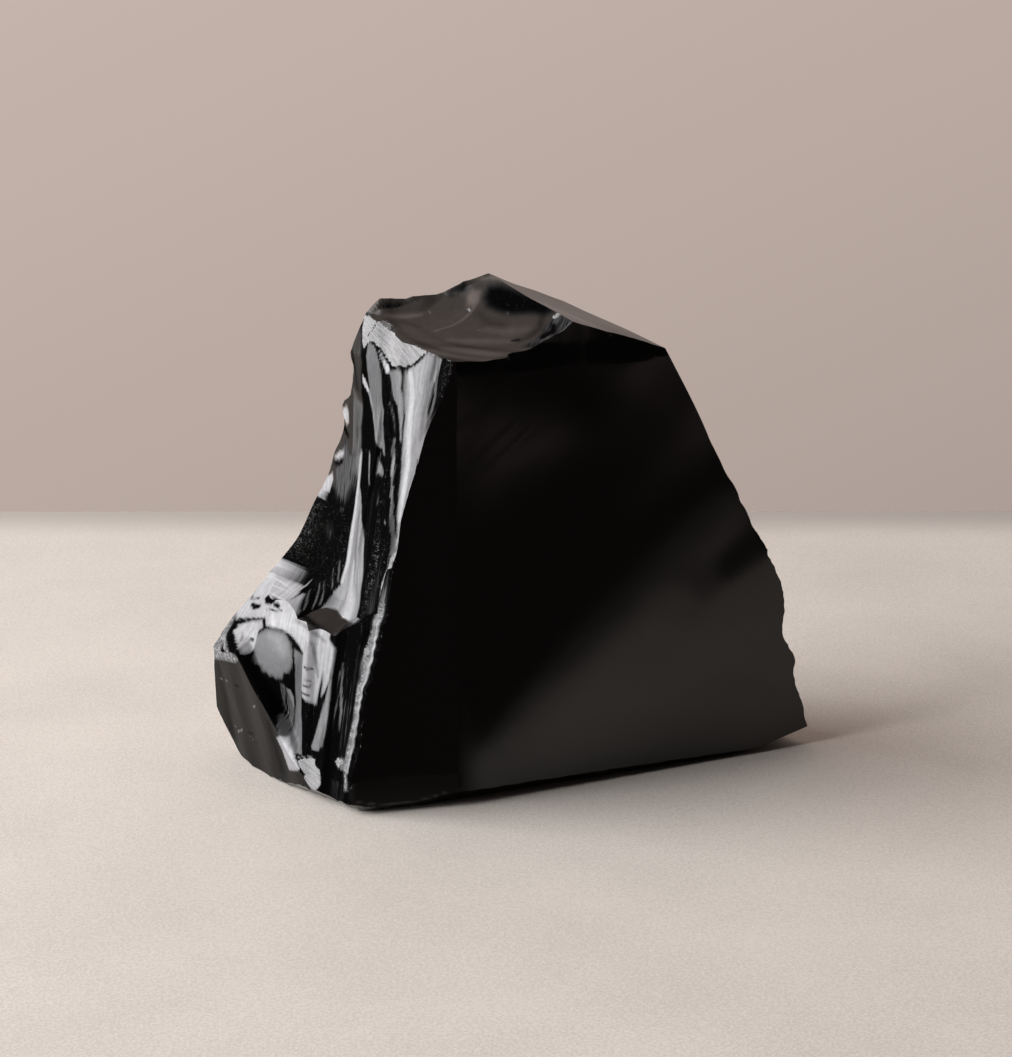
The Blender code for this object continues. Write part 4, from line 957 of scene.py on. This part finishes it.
def obsidian():
    material = bpy.data.materials.new("obsidian")
    material.use_nodes = True
    n = Nodes(material.node_tree)
    place = n.add("ShaderNodeUVMap", {"uv_map": "face"})
    frost, gloss, paintedSheen, rim = n.colours("wearAndPaintedSheen")
    grit, paintedWarmShare, combed = n.colours("grit")[:3]
    streaks = n.stretched(place, (14.0, 1.2), 4.0, 0.6)  # along the flutes
    threads = n.stretched(place, (27.0, 1.8), 3.0, 0.6)
    finer = n.stretched(place, (45.0, 5.0), 3.0, 0.6)
    ticks = n.stretched(place, (6.0, 42.0), 3.0, 0.7)  # across them
    crumbs = n.noise(place, 40.0, 4.0, 0.7)
    flakes = n.noise(place, 10.0, 3.0, 0.6)
    lines = ((streaks - 0.5) * 1.7 + (threads - 0.5) * 1.6 + (finer - 0.5) * 0.7) * combed
    clean = gloss + (lines + (crumbs - 0.5) * 0.8 * combed) * gloss * (1 - gloss) * 2.0
    sparse = ticks * 0.3 + crumbs * 0.4 + flakes * 0.3
    glints = n.step(sparse + grit * 0.05, 0.60, 0.70) * n.step(grit, 0.0, 0.3)
    hairs = n.step(threads * 0.5 + finer * 0.3 + streaks * 0.2, 0.57, 0.68) * n.step(grit * combed, 0.1, 0.6)
    clean = n.highest(clean, n.highest(glints * 0.6, hairs * 0.4))
    broken = (crumbs - 0.5) * 0.6 + (flakes - 0.5) * 1.2
    crush = n.step(frost + broken, 0.4, 0.58)
    crush = n.highest(crush, n.step(rim + broken, 0.72, 0.9) * 0.8)
    # painted sheen: a diffuse tone where the marks lay it, streaked by the fine lines, standing in for
    # reflected light
    shown = n.highest(paintedWarmShare, n.step(paintedSheen + lines * 0.25, 0.05, 0.12))
    paintedSheenMix = paintedSheen * (1 + lines * 0.8 + (flakes - 0.5) * 0.5) * shown
    across, along = n.axes(place)[:2]
    turned = n.add("ShaderNodeCombineXYZ", None,
                   {0: across * 2.4 - along * 1.2, 1: across * 11.0 + along * 26.0})
    combs = n.noise(turned, 1.0, 3.0, 0.6)
    fine = n.bump(0.1, 0.0002, (finer + streaks) * combed + crumbs * 0.05)
    coarse = n.bump(0.7, 0.0004, crumbs + ticks)
    mirror = n.surface(glassAndPaintedSheen["black"], glassAndPaintedSheen["roughness"] + (1 - gloss) * 0.35,
                       {"IOR": glassAndPaintedSheen["ior"], "Normal": fine})
    soot = n.surface(glassAndPaintedSheen["soot"], 0.9, {"IOR": glassAndPaintedSheen["ior"], "Specular IOR Level": 0.0, "Normal": coarse})
    # the painted sheen's surface, grey or warm brown as the marks say
    sheen = n.surface(n.blend(paintedWarmShare, glassAndPaintedSheen["paintedSheen"], glassAndPaintedSheen["paintedWarmSheen"]), 0.5,
                      {"Specular IOR Level": 0.2, "Normal": fine})
    pale = n.step(combs * 0.6 + crumbs * 0.4, 0.34, 0.62)
    powder = n.surface(n.blend(pale, glassAndPaintedSheen["powderDark"], glassAndPaintedSheen["powderPale"]), 0.6, {"Normal": coarse})
    n.finish(n.mixShaders(crush, n.mixShaders(paintedSheenMix, n.mixShaders(clean, soot, mirror), sheen), powder))
    return material


stoneMesh.materials.append(obsidian())
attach(stone, "root")
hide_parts("obsidian_chunk")
print("stone dressed")

# floor, backdrop and light; lengths in metres
studio = {"wallAt": 0.180, "wallHeight": 0.6, "reach": 3.0, "floorAt": -1e-4, "cardsAt": 5e-4,
          "floor": (0.605, 0.558, 0.515, 1), "wall": (0.5, 0.41, 0.37, 1),
          "above": 1.0, "behind": 0.64, "ambient": 0.02, "warm": (1.0, 0.82, 0.75, 1)}


def sheet(name, corners, material):
    mesh = bpy.data.meshes.new(name)
    mesh.from_pydata(corners, [], [tuple(range(len(corners)))])
    mesh.materials.append(material)
    obj = newObject(name, mesh)
    return obj


def plainMaterial(name):
    material = bpy.data.materials.new(name)
    material.use_nodes = True
    return material, Nodes(material.node_tree)


def paleFloor():
    material, n = plainMaterial("pale_floor")
    place = n.add("ShaderNodeTexCoord", None, None, 3)
    grain = n.noise(place, 2300.0, 4.0, 0.7)
    cloud = n.noise(place, 30.0, 3.0, 0.5)
    darker, paintedWallShade = [tuple(share * c for c in studio["floor"][:3]) + (1,) for share in (0.80, 0.62)]
    grainTone = n.blend(n.step(grain * 0.8 + cloud * 0.2, 0.36, 0.62), darker, studio["floor"])
    # painted shade: the floor darkens to 62% over the last 28 mm before the wall
    toWall = n.step(n.axes(place)[1], studio["wallAt"] - 0.028, studio["wallAt"])
    n.finish(n.surface(n.blend(toWall, grainTone, paintedWallShade), 0.8, {"Specular IOR Level": 0.2}))
    return material


def glowingWall():
    material, n = plainMaterial("glowing_wall")
    x, y, z = n.axes(n.add("ShaderNodeTexCoord", None, None, 3))
    # painted light: the wall glows, brighter to the left and upward; only the camera sees it
    strength = 0.9 - x * 0.55 + z * 1.2
    lit = n.add("ShaderNodeEmission", None, {"Color": studio["wall"], "Strength": strength})
    behind = n.add("ShaderNodeNewGeometry", None, None, 6)
    n.finish(n.mixShaders(behind, lit, n.add("ShaderNodeBsdfTransparent")))
    return material


far, at, down = studio["reach"], studio["wallAt"], studio["floorAt"]
sheet("floor", [(-far, -far, down), (far, -far, down), (far, far, down), (-far, far, down)], paleFloor())
rise = studio["wallHeight"]
wall = sheet("wall", [(-far, at, 0), (far, at, 0), (far, at, rise), (-far, at, rise)], glowingWall())
wall.visible_diffuse = wall.visible_glossy = wall.visible_shadow = False

# dark sheets that only the stone's gloss sees, a painted dark reflection with a dim warm glow brighter
# further in front: one for the room in front, and a card for the narrow face
dark, n = plainMaterial("painted_dark_reflection")
away = n.step(n.axes(n.add("ShaderNodeTexCoord", None, None, 3))[1] * -1.0, 0.3, 0.9)
n.finish(n.add("ShaderNodeEmission", None, {"Color": studio["warm"], "Strength": away * 0.15 + 0.05}))
frontCorners = ((0.036, -0.056), (-0.5, -0.056), (-0.5, -2.9), (2.9, -2.9), (2.9, -1.2))
narrowCorners = [(-0.03, -0.052, 0), (0.012, -0.052, 0), (0.012, -0.052, 0.12), (-0.03, -0.052, 0.12)]
for card in (sheet("front_card", [corner + (studio["cardsAt"],) for corner in frontCorners], dark),
             sheet("narrow_card", narrowCorners, dark)):
    card.visible_camera = card.visible_diffuse = card.visible_shadow = False

world = bpy.data.worlds.new("studio")
bpy.context.scene.world = world
world.use_nodes = True
n = Nodes(world.node_tree)
toward = n.add("ShaderNodeTexCoord", None, None, 0)
back = n.add("ShaderNodeVectorMath", {"operation": "DOT_PRODUCT"}, {0: toward, 1: (0.0, 1.0, 0.0)}, 1)
above = n.add("ShaderNodeVectorMath", {"operation": "DOT_PRODUCT"}, {0: toward, 1: (-0.3, 0.5, 0.81)}, 1)
light = n.step(above, 0.75, 0.97) * studio["above"]
light = n.highest(light, n.step(back, 0.2, 0.6) * studio["behind"])
light = n.highest(light, studio["ambient"])
glow = n.add("ShaderNodeBackground", None, {0: studio["warm"], 1: light})
plain = n.add("ShaderNodeBackground", None, {0: studio["wall"], 1: 1.0})
n.finish(n.mixShaders(n.add("ShaderNodeLightPath"), glow, plain), "ShaderNodeOutputWorld")

softbox = {"place": (-1.16, -0.17, 0.54), "aim": (0, 0, 0.04), "size": (1.3, 1.0), "radiance": 11.3}
lamp = bpy.data.lights.new("left_softbox", "AREA")
lamp.shape = "RECTANGLE"
lamp.size, lamp.size_y = softbox["size"]
lamp.energy = softbox["radiance"] * math.pi * softbox["size"][0] * softbox["size"][1]
lampObject = newObject("left_softbox", lamp)
lampObject.location = softbox["place"]
away = np.array(softbox["aim"]) - np.array(softbox["place"])
lampObject.rotation_euler = (math.acos(away[2] / -np.linalg.norm(away)), 0.0, math.atan2(-away[0], away[1]))
lampObject.visible_camera = False

# the place is in the layout of the faces, in metres
view = {"lens": 90.0, "sensor": 36.0, "clip": (0.01, 20.0), "place": (0.0, -0.4231, 0.1505), "pitch": 76.0}
camera = newObject("camera", bpy.data.cameras.new("camera"))
camera.data.lens, camera.data.sensor_width = view["lens"], view["sensor"]
camera.data.clip_start, camera.data.clip_end = view["clip"]
camera.location = [view["place"][axis] - layoutCentre[axis] * mm for axis in range(3)]
camera.rotation_euler = (math.radians(view["pitch"]), 0.0, 0.0)
bpy.context.scene.camera = camera
bpy.context.scene.view_settings.view_transform = "Standard"
print("studio set")
